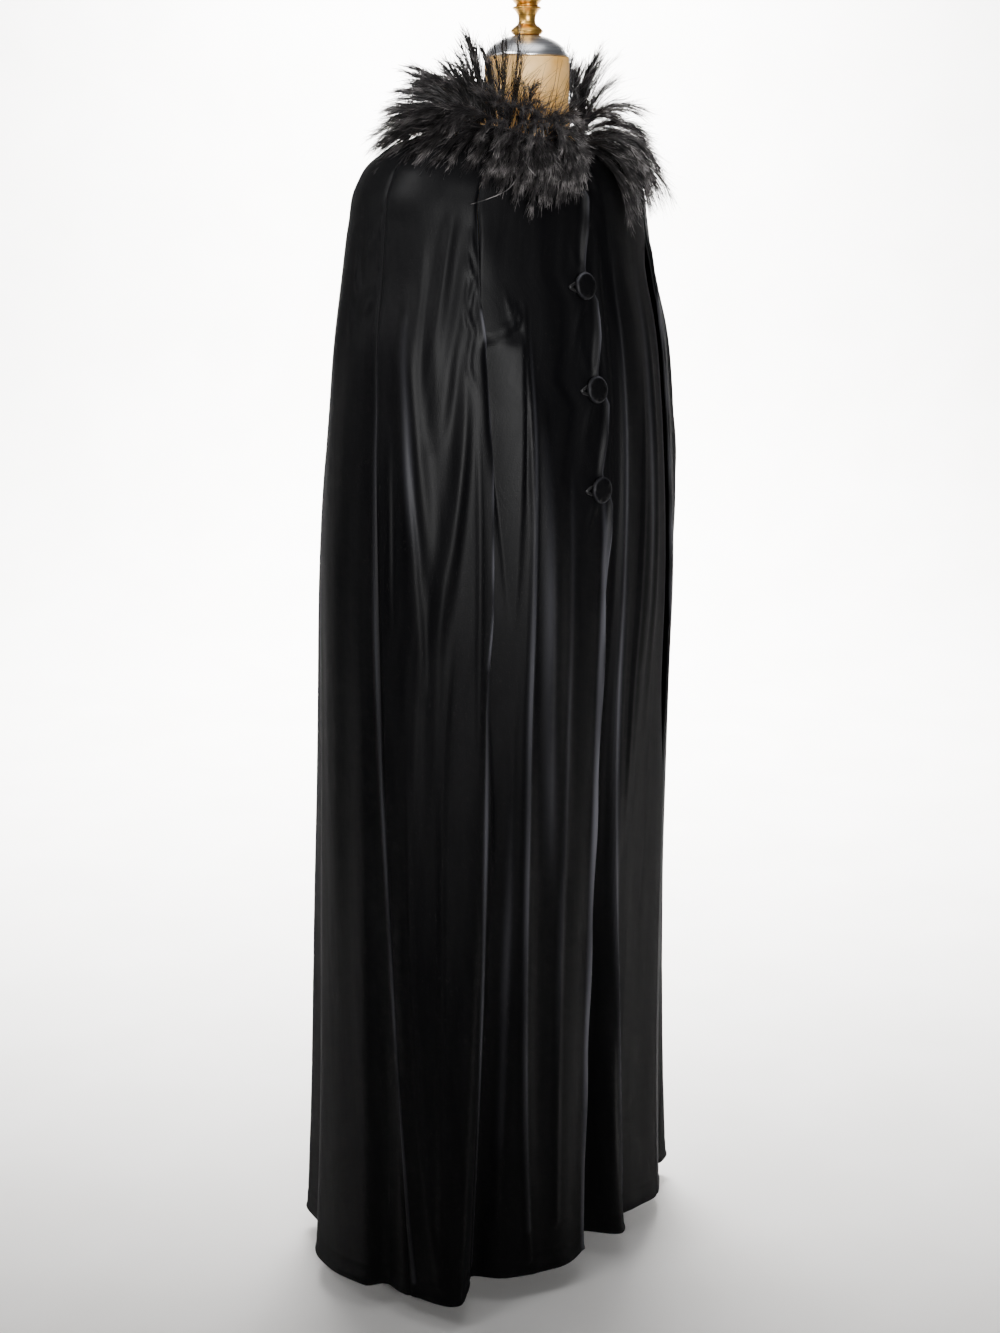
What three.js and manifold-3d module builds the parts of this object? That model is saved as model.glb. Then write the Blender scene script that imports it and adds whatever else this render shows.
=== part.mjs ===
// A full-length velvet cape with a feather collar, on a limbless dress form with a stand.
// Millimetres, +Z up. The cape's front faces -Y and the wearer's left is +X.
// The origin is the middle of the stand's underside.
// An angle round the cape runs from its front centre towards the wearer's right:
// 0 is the front, 90 the right side, 180 the middle of the back.
import * as THREE from 'three';
import { mergeVertices } from 'three/addons/utils/BufferGeometryUtils.js';
import Module from 'manifold-3d';

// Driving dimensions
const neckSeamHeight = 1480;
const hemHeight = 38;
const wallThickness = 2;
const seamGap = 0.36;
const widestLineY = -30;
const neckAxisY = -28;
const neckRadius = 50;
const neckTop = 1560;
const torsoBottom = 800;
const poleRadius = 16;
const footRadius = 125;
const footHeight = 24;
const buttonRadius = 16;
const buttonInset = 15;
// Heights on the side's scale: near the neck the front lies about 25 lower
const buttonHeights = [1453, 1300, 1182, 1065];
const loopRadius = 1.7;
const locksInARow = 32;
const contactGap = 0.35;

// Cape sections from the neck seam to the hem: the height at the side, how far the front lies
// below it and the back above it, the half width, the widest line, the reach to the front and
// to the back, and how square the back is (1 is an ellipse, less is squarer).
const capeColumns = ['height', 'frontDrop', 'backRise', 'halfWidth', 'middle', 'front', 'back', 'square'];
const capeSections = table(capeColumns, [
  [neckSeamHeight, 20, 6, 62, -28, -90, 34, 1],
  [1473, 24, 8, 98, -24, -103, 66, 0.95],
  [1462, 32, 9, 142, -15, -112, 98, 0.86],
  [1443, 34, 8, 178, -7, -118, 122, 0.78],
  [1414, 25, 6, 198, -2, -121, 137, 0.72],
  [1372, 8, 3, 207, 0, -124, 144, 0.7],
  [1310, 0, 0, 218, 0, -130, 150, 0.7],
  [1240, 0, 0, 234, 0, -143, 150, 0.72],
  [1160, 0, 0, 240, 0, -154, 164, 0.75],
  [1060, 0, 0, 247, 0, -160, 182, 0.78],
  [940, 0, 0, 254, 0, -160, 194, 0.82],
  [800, 0, 0, 257, 0, -153, 204, 0.85],
  [650, 0, 0, 260, 0, -147, 212, 0.87],
  [500, 0, 0, 263, 0, -140, 220, 0.88],
  [350, 0, 0, 267, 0, -134, 226, 0.9],
  [210, 0, 0, 272, 0, -130, 230, 0.9],
  [110, 0, 0, 277, 0, -129, 234, 0.9],
  [hemHeight, 0, 0, 281, 0, -129, 237, 0.9],
]);

// Folds: the heights where each starts and ends, its angle at the top, middle and bottom, how far
// it stands out (or in, if negative) at its middle and bottom, and its width in degrees on the
// side of the smaller and of the larger angle.
const foldColumns = ['top', 'bottom', 'angleTop', 'angleMiddle', 'angleBottom',
  'depthMiddle', 'depthBottom', 'widthBefore', 'widthAfter'];
const folds = table(foldColumns, [
  // right front
  [1200, hemHeight, 8, 9, 9, 7, 20, 9, 10],
  [1260, hemHeight, 25, 24, 19, 7, 4, 3, 4],
  [1160, 560, 21, 17, 13, 6, 0, 4, 5],
  [800, hemHeight, 34, 34, 35, -9, -26, 6, 3],
  // right side panel
  [860, hemHeight, 41, 41.5, 45, 9, 30, 4, 8],
  [1120, hemHeight, 84, 80, 74, -12, -36, 12, 20],
  [1310, 950, 70, 64, 57, 5, 0, 3, 3],
  [1410, 1120, 53, 56, 60, 5, 0, 3, 3],
  [1375, 1120, 46.5, 51, 57, 5, 0, 2.5, 3],
  [1190, 880, 47, 51, 56, 5, 0, 3, 3],
  // back
  [1275, 480, 96, 99, 102, 6, 0, 5, 6],
  [1180, hemHeight, 118, 124, 127, -5, -12, 7, 6],
  [1300, hemHeight, 130, 137, 142, 10, 24, 6, 5],
  [1200, hemHeight, 140, 148, 153, -7, -16, 5, 5],
  [1330, hemHeight, 141, 156, 164, 11, 27, 5, 7],
  [1150, hemHeight, 168, 173, 176, -8, -20, 6, 5],
  [1260, hemHeight, 188, 187, 187, 8, 20, 5, 6],
  [1100, hemHeight, 199, 199, 198, -5, -13, 5, 5],
  [1330, hemHeight, 222, 213, 209, 12, 28, 6, 5],
  [1200, hemHeight, 229, 223, 221, -8, -20, 6, 6],
  [1280, hemHeight, 238, 236, 234, 8, 21, 5, 6],
  [1130, hemHeight, 248, 248, 247, -4, -11, 6, 6],
  [1200, hemHeight, 260, 260, 259, 5, 12, 6, 7],
  // left side panel
  [1060, hemHeight, 274, 275, 277, -9, -24, 9, 7],
  [900, hemHeight, 288, 289, 290, 4, 10, 8, 6],
  [840, hemHeight, 303, 303, 304, -5, -14, 5, 5],
  [1360, 1050, 313, 307, 302, 5, 0, 3, 3],
  [1260, 960, 296, 300, 305, 5, 0, 3, 3],
  // left front
  [1100, hemHeight, 326, 324, 324, 6, 12, 10, 8],
  [960, hemHeight, 340, 340, 340, -3, -8, 4, 3],
  [1150, 560, 336, 341, 346, 5, 0, 3, 3],
  [1360, hemHeight, 347, 352, 347, 6, 22, 5, 3],
]);

// Seams by height: the arm-slit seam and the side seam, as angles. The left ones mirror them.
const slitSeam = [[neckSeamHeight, 46], [1366, 43], [1160, 41], [940, 39.5], [650, 38], [hemHeight, 37]];
const sideSeam = [[neckSeamHeight, 92], [1366, 87], [1240, 83], [940, 79], [650, 76], [350, 69], [hemHeight, 60]];
const slitTop = 1310;
const slitBottom = 700;
const slitOverlap = 2.2;
const slitLift = 3.5;
const slitSink = 5;
const slitReach = 5;

// The heights between which the slit's edges part, and those where one covers the other
const partFrom = slitBottom - 50;
const partFull = slitBottom + 100;
const coverFull = slitBottom + 240;
const coverEnds = slitTop - 70;
const partEnds = slitTop + 56;

// The left front runs on under the right front to this angle. It sinks between the other two.
const underlap = 9;
const sinkFrom = -11;
const sinkFull = -5;

// A degree is shortest round the front: there it has this share of its length at the side
const shortestDegree = 0.55;

// How far the left front lies behind the right front where they overlap
const layerGaps = [[neckSeamHeight, 4.6], [1060, 5.4], [800, 10], [hemHeight, 26]];

function table(columns, rows) {
  return rows.map((row) => Object.fromEntries(columns.map((name, index) => [name, row[index]])));
}

function lookUp(pairs, height) {
  const last = pairs.findIndex(([level]) => level <= height);
  if (last === 0) return pairs[0][1];
  if (last < 0) return pairs[pairs.length - 1][1];
  const [upper, upperValue] = pairs[last - 1];
  const [lower, lowerValue] = pairs[last];
  return upperValue + (lowerValue - upperValue) * (upper - height) / (upper - lower);
}

function smoothStep(from, to, value) {
  return THREE.MathUtils.smoothstep(value, Math.min(from, to), Math.max(from, to));
}

// A curve through three values at 0, 1/2 and 1
function throughThree(first, middle, last, along) {
  const bend = 2 * (first + last) - 4 * middle;
  return first + (last - first - bend) * along + bend * along * along;
}

// The section at a height, between the two rows of the table round it
function capeSection(height) {
  const level = THREE.MathUtils.clamp(height, hemHeight, neckSeamHeight);
  const lower = Math.max(1, capeSections.findIndex((row) => row.height <= level));
  const above = capeSections[lower - 1];
  const below = capeSections[lower];
  const part = (above.height - level) / (above.height - below.height);
  return Object.fromEntries(capeColumns.map((name) => [name, above[name] + (below[name] - above[name]) * part]));
}

function foldDepth(angle, height) {
  let depth = 0;
  for (const fold of folds) {
    const along = (fold.top - height) / (fold.top - fold.bottom);
    if (along <= 0 || along > 1) continue;
    const centre = throughThree(fold.angleTop, fold.angleMiddle, fold.angleBottom, along);
    const away = THREE.MathUtils.euclideanModulo(angle - centre + 180, 360) - 180;
    const width = away < 0 ? fold.widthBefore : fold.widthAfter;
    const size = throughThree(0, fold.depthMiddle, fold.depthBottom, along);
    depth += size * Math.exp(-((away / width) ** 2));
  }
  return depth;
}

// A point of the cloth's middle surface: the section's oval, moved out by the folds
function capePoint(angle, height, extra = 0) {
  const section = capeSection(height);
  const turn = THREE.MathUtils.degToRad(angle);
  const side = -Math.sin(turn);
  const ahead = Math.cos(turn);
  const reach = ahead > 0 ? section.middle - section.front : section.back - section.middle;
  const curve = ahead > 0 ? ahead : -((-ahead) ** section.square);
  const out = new THREE.Vector2(side / section.halfWidth, -ahead / reach).normalize();
  const moved = foldDepth(angle, height) + extra;
  const level = section.height + (ahead > 0 ? -section.frontDrop : section.backRise) * ahead * ahead;
  return new THREE.Vector3(
    section.halfWidth * side + out.x * moved,
    widestLineY + section.middle - reach * curve + out.y * moved,
    level,
  );
}

// The way out of the cloth at a place, the same for the panels on both sides of a seam
function clothOut(angle, height) {
  const turn = 1;
  const upper = Math.min(height + 6, neckSeamHeight);
  const lower = Math.max(height - 6, hemHeight);
  const along = capePoint(angle + turn, height).sub(capePoint(angle - turn, height));
  const down = capePoint(angle, lower).sub(capePoint(angle, upper));
  return new THREE.Vector3().crossVectors(along, down).normalize();
}

// A place on a panel: the point of its middle surface and the way out of it
function clothPlace(angle, height, extra) {
  return { point: capePoint(angle, height, extra(angle, height)), out: clothOut(angle, height) };
}

// The arm slit: 1 where its two edges stand apart, 0 past its ends. The overlap starts later
// than the lift, so that the edges are already apart where they pass over each other.
function slitOpen(height) {
  return smoothStep(partFrom, partFull, height) * (1 - smoothStep(slitTop, partEnds, height));
}

function slitCovered(height) {
  return smoothStep(partFull, coverFull, height) * (1 - smoothStep(coverEnds, slitTop, height));
}

function nearSlit(angle, height) {
  return Math.exp(-(((Math.abs(angle) - lookUp(slitSeam, height)) / slitReach) ** 2));
}

function frontExtra(angle, height) {
  return -slitSink * slitOpen(height) * nearSlit(angle, height);
}

function sideExtra(angle, height) {
  return slitLift * slitOpen(height) * nearSlit(angle, height);
}

function leftFrontExtra(angle, height) {
  const under = smoothStep(sinkFrom, sinkFull, angle);
  return frontExtra(angle, height) - lookUp(layerGaps, height) * under;
}

// A closed wall on a grid of places of its middle surface, given as rows of columns. The rows run
// from top to bottom and the columns towards larger angles.
function wallOnGrid(grid, thickness) {
  const rows = grid.length;
  const columns = grid[0].length;
  const positions = [];
  for (const side of [0.5, -0.5]) {
    for (const { point, out } of grid.flat()) {
      positions.push(...point.clone().addScaledVector(out, side * thickness).toArray());
    }
  }
  const inner = rows * columns;
  const faces = [];
  const quad = (a, b, c, d) => faces.push(a, c, b, a, d, c);
  for (let row = 0; row < rows - 1; row += 1) {
    for (let column = 0; column < columns - 1; column += 1) {
      const a = row * columns + column;
      quad(a, a + columns, a + columns + 1, a + 1);
      quad(inner + a, inner + a + 1, inner + a + columns + 1, inner + a + columns);
    }
    const left = row * columns;
    const right = left + columns - 1;
    quad(left, inner + left, inner + left + columns, left + columns);
    quad(right, right + columns, inner + right + columns, inner + right);
  }
  const bottom = (rows - 1) * columns;
  for (let column = 0; column < columns - 1; column += 1) {
    quad(column, column + 1, inner + column + 1, inner + column);
    quad(bottom + column, inner + bottom + column, inner + bottom + column + 1, bottom + column + 1);
  }
  return indexedGeometry(positions, faces);
}

function indexedGeometry(positions, faces) {
  const geometry = new THREE.BufferGeometry();
  geometry.setAttribute('position', new THREE.Float32BufferAttribute(positions, 3));
  geometry.setIndex(faces);
  geometry.computeVertexNormals();
  return geometry;
}

// One cloth panel between two edges that are angles by height
function panel(fromEdge, toEdge, columns, extra) {
  const grid = capeSections.map(({ height }) => {
    const from = fromEdge(height);
    const to = toEdge(height);
    return Array.from({ length: columns + 1 }, (_, column) => {
      const angle = from + (to - from) * column / columns;
      return clothPlace(angle, height, extra);
    });
  });
  return wallOnGrid(grid, wallThickness);
}

// Half a seam's gap, as an angle at the section's size
function halfGap(height) {
  return THREE.MathUtils.radToDeg(seamGap / 2 / (capeSection(height).halfWidth * shortestDegree));
}

const slitEdge = (height) => lookUp(slitSeam, height) - halfGap(height);
const overSlit = (height) => lookUp(slitSeam, height) + halfGap(height) - slitOverlap * slitCovered(height);
const sideEdge = (height) => lookUp(sideSeam, height) - halfGap(height);
const backEdge = (height) => lookUp(sideSeam, height) + halfGap(height);

function capePanels() {
  const none = () => 0;
  return {
    cape_right_front: panel(() => 0, slitEdge, 19, frontExtra),
    cape_right_side: panel(overSlit, sideEdge, 16, sideExtra),
    cape_back: panel(backEdge, (height) => 360 - backEdge(height), 56, none),
    cape_left_side: panel((height) => -sideEdge(height), (height) => -overSlit(height), 15, sideExtra),
    cape_left_front: panel((height) => -slitEdge(height), () => underlap, 22, leftFrontExtra),
  };
}

// A place on a panel's outer face, moved out by a height above it
function onCloth(angle, height, extra, above) {
  const { point, out } = clothPlace(angle, height, extra);
  return { point: point.addScaledVector(out, wallThickness / 2 + above), out };
}

// The length of one degree round the front at a height
function degreeLength(height) {
  return capePoint(4.5, height).distanceTo(capePoint(3.5, height));
}

// A covered button: a short shank under a thick, softly domed disc
function button(height) {
  const shankRadius = 3;
  const discFrom = 5.4;
  const discTo = 12;
  const outline = [
    [0, contactGap], [shankRadius, contactGap], [shankRadius, discFrom], [buttonRadius - 2, discFrom],
    [buttonRadius, discFrom + 2.6], [buttonRadius - 2, discTo - 1.2], [buttonRadius * 0.5, discTo], [0, discTo],
  ].map(([radius, level]) => new THREE.Vector2(radius, level));
  const geometry = new THREE.LatheGeometry(outline, 14);
  const { point, out } = onCloth(buttonInset / degreeLength(height), height, frontExtra, 0);
  const mesh = clothMesh(geometry, 0x08080a);
  mesh.position.copy(point);
  mesh.quaternion.setFromUnitVectors(new THREE.Vector3(0, 1, 0), out);
  return mesh;
}

// A rouleau loop: from the left front, round the right front's edge and the button's shank
function loop(height) {
  const overCloth = loopRadius + contactGap + 0.2;
  const leg = [
    { in: -12, up: 3.2, out: overCloth, under: true },
    { in: -5.5, up: 3.8, out: overCloth, under: true },
    { in: -2.9, up: 4.2, out: -0.6, under: false },
    { in: -1.6, up: 4.6, out: 2, under: false },
    { in: 2, up: 5, out: overCloth + 0.6, under: false },
    { in: 10, up: 5.8, out: overCloth + 0.2, under: false },
    { in: 21, up: 5.4, out: overCloth, under: false },
    { in: 29, up: 3.2, out: overCloth, under: false },
  ];
  const tip = { in: 34, up: 0, out: overCloth, under: false };
  const back = [...leg].reverse().map((place) => ({ ...place, up: -place.up }));
  const points = [...leg, tip, ...back].map((place) => {
    const extra = place.under ? leftFrontExtra : frontExtra;
    return onCloth(place.in / degreeLength(height), height + place.up, extra, place.out).point;
  });
  const section = new THREE.Shape(new THREE.EllipseCurve(0, 0, loopRadius, loopRadius).getPoints(5).slice(0, 5));
  const path = new THREE.CatmullRomCurve3(points);
  const geometry = new THREE.ExtrudeGeometry(section, { steps: 24, bevelEnabled: false, extrudePath: path });
  return clothMesh(geometry, 0x08080a);
}

// Even but unequal values from 0 to 1 for a lock: the fraction of a sine of its number
function scatter(number, row) {
  const value = Math.sin(number * 12.9898 + row * 78.233) * 43758.5453;
  return value - Math.floor(value);
}

// The feathers' backing tape: a narrow band on the cloth just below the neck seam
const tapeFrom = 3;
const tapeTo = 347;
const tapeHeights = [1479.3, 1477.7];
const tapeThickness = 2.6;
const tapeColumns = 56;
const tapeLift = 0.7;

function tapeExtra(angle, height) {
  return angle > 180 ? leftFrontExtra(angle - 360, height) : 0;
}

function tapePlace(angle, height, above) {
  return onCloth(angle, height, tapeExtra, above);
}

function feathersTape() {
  const grid = tapeHeights.map((height) => Array.from({ length: tapeColumns + 1 }, (_, column) => {
    const angle = tapeFrom + (tapeTo - tapeFrom) * column / tapeColumns;
    return tapePlace(angle, height, tapeLift + tapeThickness / 2);
  }));
  return wallOnGrid(grid, tapeThickness);
}

// Three rows of locks: the share of the tape's width where each row is rooted
const lockPlaces = [0.15, 0.5, 0.85];

// How the locks stand round the neck: by angle, each row's slope at the root and at the tip in
// degrees above the horizontal, and its length. At the front they fall forwards, at the sides
// the first row stands up, and the others lie along the shoulders.
const lockColumns = ['angle', 'root0', 'tip0', 'length0', 'root1', 'tip1', 'length1', 'root2', 'tip2', 'length2'];
const lockLeans = table(lockColumns, [
  [0, 24, -62, 100, 8, -76, 108, -8, -84, 100],
  [40, 36, -50, 104, 14, -74, 116, -2, -82, 110],
  [66, 84, 70, 112, 34, -48, 108, 4, -60, 112],
  [95, 84, 56, 98, 34, -12, 106, 10, -37, 118],
  [135, 56, 2, 98, 30, -18, 108, 10, -36, 118],
  [180, 56, 6, 100, 34, -16, 106, 11, -38, 112],
  [225, 62, 22, 100, 34, -18, 106, 12, -38, 116],
  [262, 86, 58, 92, 36, -34, 98, 10, -48, 120],
  [298, 86, 46, 88, 24, -68, 106, -4, -70, 146],
  [312, 68, -44, 86, 14, -70, 110, -6, -76, 138],
  [326, 42, -54, 96, 12, -72, 114, -8, -80, 128],
  [360, 24, -62, 100, 8, -76, 108, -8, -84, 100],
]);

function lockLean(name, angle) {
  const after = lockLeans.findIndex((row) => row.angle >= angle);
  const above = lockLeans[Math.max(after, 1)];
  const below = lockLeans[Math.max(after, 1) - 1];
  const part = (angle - below.angle) / (above.angle - below.angle);
  return below[name] + (above[name] - below[name]) * part;
}

// A lock's half width at the start of each of its three parts, how far its sides and its top lie
// from its middle as shares of that, and how much its slope and its heading vary, in degrees
const lockWidths = [3, 4.6, 2.8];
const lockBelow = -0.35;
const lockAbove = 0.6;
const slopeVaries = 8;
const headingVaries = 7;

// One lock of feathers, three-sided, thickest near its middle and bending to a thin tip. It grows
// from the tape's own slope, so that its root lies along the tape.
function lock(number, row) {
  const share = (number + 0.5 + (scatter(number, row) - 0.5) * 0.4) / locksInARow;
  const angle = tapeFrom + (tapeTo - tapeFrom) * share;
  const height = tapeHeights[0] + (tapeHeights[1] - tapeHeights[0]) * lockPlaces[row];
  const rise = lockLean(`root${row}`, angle);
  const tip = lockLean(`tip${row}`, angle);
  const spread = (scatter(number, row + 7) - 0.5) * slopeVaries;
  const length = lockLean(`length${row}`, angle) * (0.84 + 0.26 * scatter(number, row + 3));
  const segments = lockWidths.length;
  const heading = THREE.MathUtils.degToRad(angle + (scatter(number, row + 5) - 0.5) * headingVaries);
  const { point: centre, out } = tapePlace(angle, height, tapeLift + tapeThickness * 0.5);
  const away = new THREE.Vector3(-Math.sin(heading), -Math.cos(heading), 0);
  const across = new THREE.Vector3().crossVectors(away, out).normalize();
  const up = new THREE.Vector3().crossVectors(across, away);
  const positions = [];
  lockWidths.forEach((width, step) => {
    const slope = THREE.MathUtils.degToRad(rise + (tip - rise) * (step + 0.5) / segments + spread);
    const forward = away.clone().multiplyScalar(Math.cos(slope)).addScaledVector(up, Math.sin(slope));
    const upright = new THREE.Vector3().crossVectors(across, forward);
    const corner = (sideways, upwards) => centre.clone()
      .addScaledVector(across, sideways * width).addScaledVector(upright, upwards * width).toArray();
    positions.push(...corner(1, lockBelow), ...corner(-1, lockBelow), ...corner(0, lockAbove));
    centre.addScaledVector(forward, length / segments);
  });
  positions.push(...centre.toArray());
  const faces = [0, 2, 1];
  for (let ring = 0; ring < segments - 1; ring += 1) {
    for (let side = 0; side < 3; side += 1) {
      const a = ring * 3 + side;
      const b = ring * 3 + (side + 1) % 3;
      faces.push(a, b, b + 3, a, b + 3, a + 3);
    }
  }
  const end = (segments - 1) * 3;
  for (let side = 0; side < 3; side += 1) faces.push(end + side, end + (side + 1) % 3, segments * 3);
  return indexedGeometry(positions, faces);
}

// Solids for joining: only positions, with shared points merged
function toSolid(wasm, geometry) {
  const bare = geometry.clone();
  bare.deleteAttribute('normal');
  bare.deleteAttribute('uv');
  const merged = mergeVertices(bare, 1e-4);
  const vertProperties = new Float32Array(merged.attributes.position.array);
  const triVerts = new Uint32Array(merged.index.array);
  return new wasm.Manifold(new wasm.Mesh({ numProp: 3, vertProperties, triVerts }));
}

async function featherTrim() {
  const wasm = await Module();
  wasm.setup();
  let solid = toSolid(wasm, feathersTape());
  for (let row = 0; row < lockPlaces.length; row += 1) {
    for (let number = 0; number < locksInARow; number += 1) {
      solid = solid.add(toSolid(wasm, lock(number, row)));
    }
  }
  const { vertProperties, triVerts } = solid.getMesh();
  return indexedGeometry(Array.from(vertProperties), Array.from(triVerts));
}

// Dress form sections from the neck to the hip: the height, half width, the reach to the front
// and to the back of the widest line, and that line's place
const formColumns = ['height', 'halfWidth', 'middle', 'front', 'back'];
const formSections = table(formColumns, [
  [neckTop, neckRadius, neckAxisY, neckAxisY - neckRadius, neckAxisY + neckRadius],
  [1500, 50, -28, -78, 24],
  [1474, 60, -28, -79, 40],
  [1458, 92, -22, -81, 62],
  [1440, 129, -15, -94, 83],
  [1416, 162, -8, -105, 100],
  [1388, 184, -3, -112, 112],
  [1350, 192, 0, -116, 118],
  [1290, 188, 0, -120, 116],
  [1230, 176, 0, -128, 106],
  [1160, 154, 0, -116, 96],
  [1070, 128, 0, -94, 84],
  [990, 142, 2, -94, 98],
  [910, 164, 4, -97, 120],
  [850, 172, 5, -97, 128],
  [torsoBottom, 170, 5, -94, 124],
]);

// A closed body through oval rings, from the top ring to the bottom one
function formTorso() {
  const around = 26;
  const positions = [];
  for (const section of formSections) {
    for (let step = 0; step < around; step += 1) {
      const turn = 2 * Math.PI * step / around;
      const ahead = Math.cos(turn);
      const reach = ahead > 0 ? section.middle - section.front : section.back - section.middle;
      positions.push(-section.halfWidth * Math.sin(turn), widestLineY + section.middle - reach * ahead, section.height);
    }
  }
  const faces = [];
  const rings = formSections.length;
  for (let ring = 0; ring < rings - 1; ring += 1) {
    for (let step = 0; step < around; step += 1) {
      const a = ring * around + step;
      const b = ring * around + (step + 1) % around;
      faces.push(a, b + around, a + around, a, b, b + around);
    }
  }
  const bottom = (rings - 1) * around;
  for (let step = 1; step < around - 1; step += 1) {
    faces.push(0, step + 1, step);
    faces.push(bottom, bottom + step, bottom + step + 1);
  }
  return indexedGeometry(positions, faces);
}

// A turned piece: its profile is given as radius and height, from its axis back to its axis
function turned(profile, segments) {
  const geometry = new THREE.LatheGeometry(profile.map(([radius, level]) => new THREE.Vector2(radius, level)), segments);
  geometry.rotateX(Math.PI / 2);
  return geometry;
}

const capHeight = 26;
const finialFoot = neckTop + capHeight + 2 * contactGap;

const capProfile = [[0, 0], [48, 0], [49, 3], [46, 8], [37, 16], [20, 23.5], [0, capHeight]];
const finialProfile = [
  [0, 0], [17, 0], [19, 3], [16, 7], [11, 11], [10.5, 20], [14, 26], [17, 29], [13, 32], [16, 36],
  [22, 44], [24, 53], [22, 62], [15, 70], [8, 74], [6, 79], [0, 82],
];
const footProfile = [
  [0, 0], [footRadius - 4, 0], [footRadius, 4], [footRadius - 1, 9], [footRadius - 8, 12],
  [80, 14], [40, 18], [26, footHeight], [0, footHeight],
];
const poleProfile = [
  [0, footHeight + contactGap], [poleRadius, footHeight + contactGap],
  [poleRadius, torsoBottom - contactGap], [0, torsoBottom - contactGap],
];

function meshOf(geometry, color, roughness, metalness) {
  return new THREE.Mesh(geometry, new THREE.MeshStandardMaterial({ color, roughness, metalness }));
}

function clothMesh(geometry, color) {
  return meshOf(geometry, color, 0.85, 0);
}

function addNamed(group, name, mesh) {
  mesh.name = name;
  group.add(mesh);
}

const cape = new THREE.Group();
for (const [name, geometry] of Object.entries(capePanels())) addNamed(cape, name, clothMesh(geometry, 0x08080a));
buttonHeights.forEach((height, index) => {
  addNamed(cape, `button_${index + 1}`, button(height));
  addNamed(cape, `loop_${index + 1}`, loop(height));
});
addNamed(cape, 'feather_trim', meshOf(await featherTrim(), 0x14110f, 0.7, 0));

const form = new THREE.Group();
addNamed(form, 'form_torso', meshOf(formTorso(), 0xd8c39a, 0.75, 0));
const cap = meshOf(turned(capProfile, 24), 0xb9bcc0, 0.3, 1);
cap.position.set(0, widestLineY + neckAxisY, neckTop + contactGap);
addNamed(form, 'neck_cap', cap);
const finial = meshOf(turned(finialProfile, 16), 0xb08a3c, 0.25, 1);
finial.position.set(0, widestLineY + neckAxisY, finialFoot);
addNamed(form, 'finial', finial);
addNamed(form, 'stand_pole', meshOf(turned(poleProfile, 16), 0x8a6a30, 0.35, 1));
addNamed(form, 'stand_foot', meshOf(turned(footProfile, 32), 0x2a2320, 0.5, 0));

const part = new THREE.Group();
part.add(cape, form);
export default part;
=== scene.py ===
"""A full-length black velvet cape with a feather collar, on a limbless dress form.

Lengths are in millimetres until a mesh is made, +Z is up, the cape's front faces -Y and the
wearer's left is +X. An angle round the cape runs from its front centre towards the wearer's
right: 0 is the front, 90 the right side, 180 the middle of the back.
"""

import math

import bpy
import numpy as np
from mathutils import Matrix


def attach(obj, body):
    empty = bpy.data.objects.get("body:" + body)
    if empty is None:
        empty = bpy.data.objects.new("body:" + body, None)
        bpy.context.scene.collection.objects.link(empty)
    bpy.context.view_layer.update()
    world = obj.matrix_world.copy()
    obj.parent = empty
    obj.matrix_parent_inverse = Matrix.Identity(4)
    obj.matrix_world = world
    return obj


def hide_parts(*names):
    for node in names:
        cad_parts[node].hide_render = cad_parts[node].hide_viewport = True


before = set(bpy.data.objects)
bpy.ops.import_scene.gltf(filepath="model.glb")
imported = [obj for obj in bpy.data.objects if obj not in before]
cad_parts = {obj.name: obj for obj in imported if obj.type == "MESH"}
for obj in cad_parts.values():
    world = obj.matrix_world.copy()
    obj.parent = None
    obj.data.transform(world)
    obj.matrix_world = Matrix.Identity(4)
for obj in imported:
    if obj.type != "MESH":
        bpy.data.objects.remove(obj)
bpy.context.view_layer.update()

# Driving dimensions, the same as the solids have
NECK_SEAM = 1480.0
HEM = 38.0
WALL = 2.0
SEAM_GAP = 0.36
WIDEST_Y = -30.0
NECK_Y = -58.0
NECK_RADIUS = 50.0
NECK_TOP = 1560.0
TORSO_BOTTOM = 800.0
POLE_RADIUS = 16.0
FOOT_RADIUS = 125.0
FOOT_HEIGHT = 24.0
BUTTON_INSET = 15.0
BUTTON_HEIGHTS = (1453, 1300, 1182, 1065)
GAPE_HEIGHTS = (1372, 1241, 1124, 1010)
LOOP_RADIUS = 1.7
CONTACT_GAP = 0.35
SLIT_TOP = 1310
SLIT_BOTTOM = 700
SLIT_OVERLAP = 2.2
UNDERLAP = 9
SINK_FROM = -11
SINK_FULL = -5
HEM_RADIUS = 2.4
CAP_HEIGHT = 26.0

# How far the front sinks and the side panel lifts at the open slit, and how far the right
# front's edge gapes between the buttons and stands up as a ridge
SLIT_SINK = 5.0
SLIT_LIFT = 3.5
GAPE = 2.2
RIDGE = 3.6

# A section's shortest radius as a share of its half width, and the length of one degree round
# the cape at the front edge and beside the slit
SHORTEST_DEGREE = 0.55
FRONT_DEGREE = 2.9
SLIT_DEGREE = 4.1

# The heights between which the arm slit's edges part, and those where one covers the other
PART_FROM = SLIT_BOTTOM - 50
PART_FULL = SLIT_BOTTOM + 100
COVER_FULL = SLIT_BOTTOM + 240
COVER_ENDS = SLIT_TOP - 70
PART_ENDS = SLIT_TOP + 56

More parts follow.
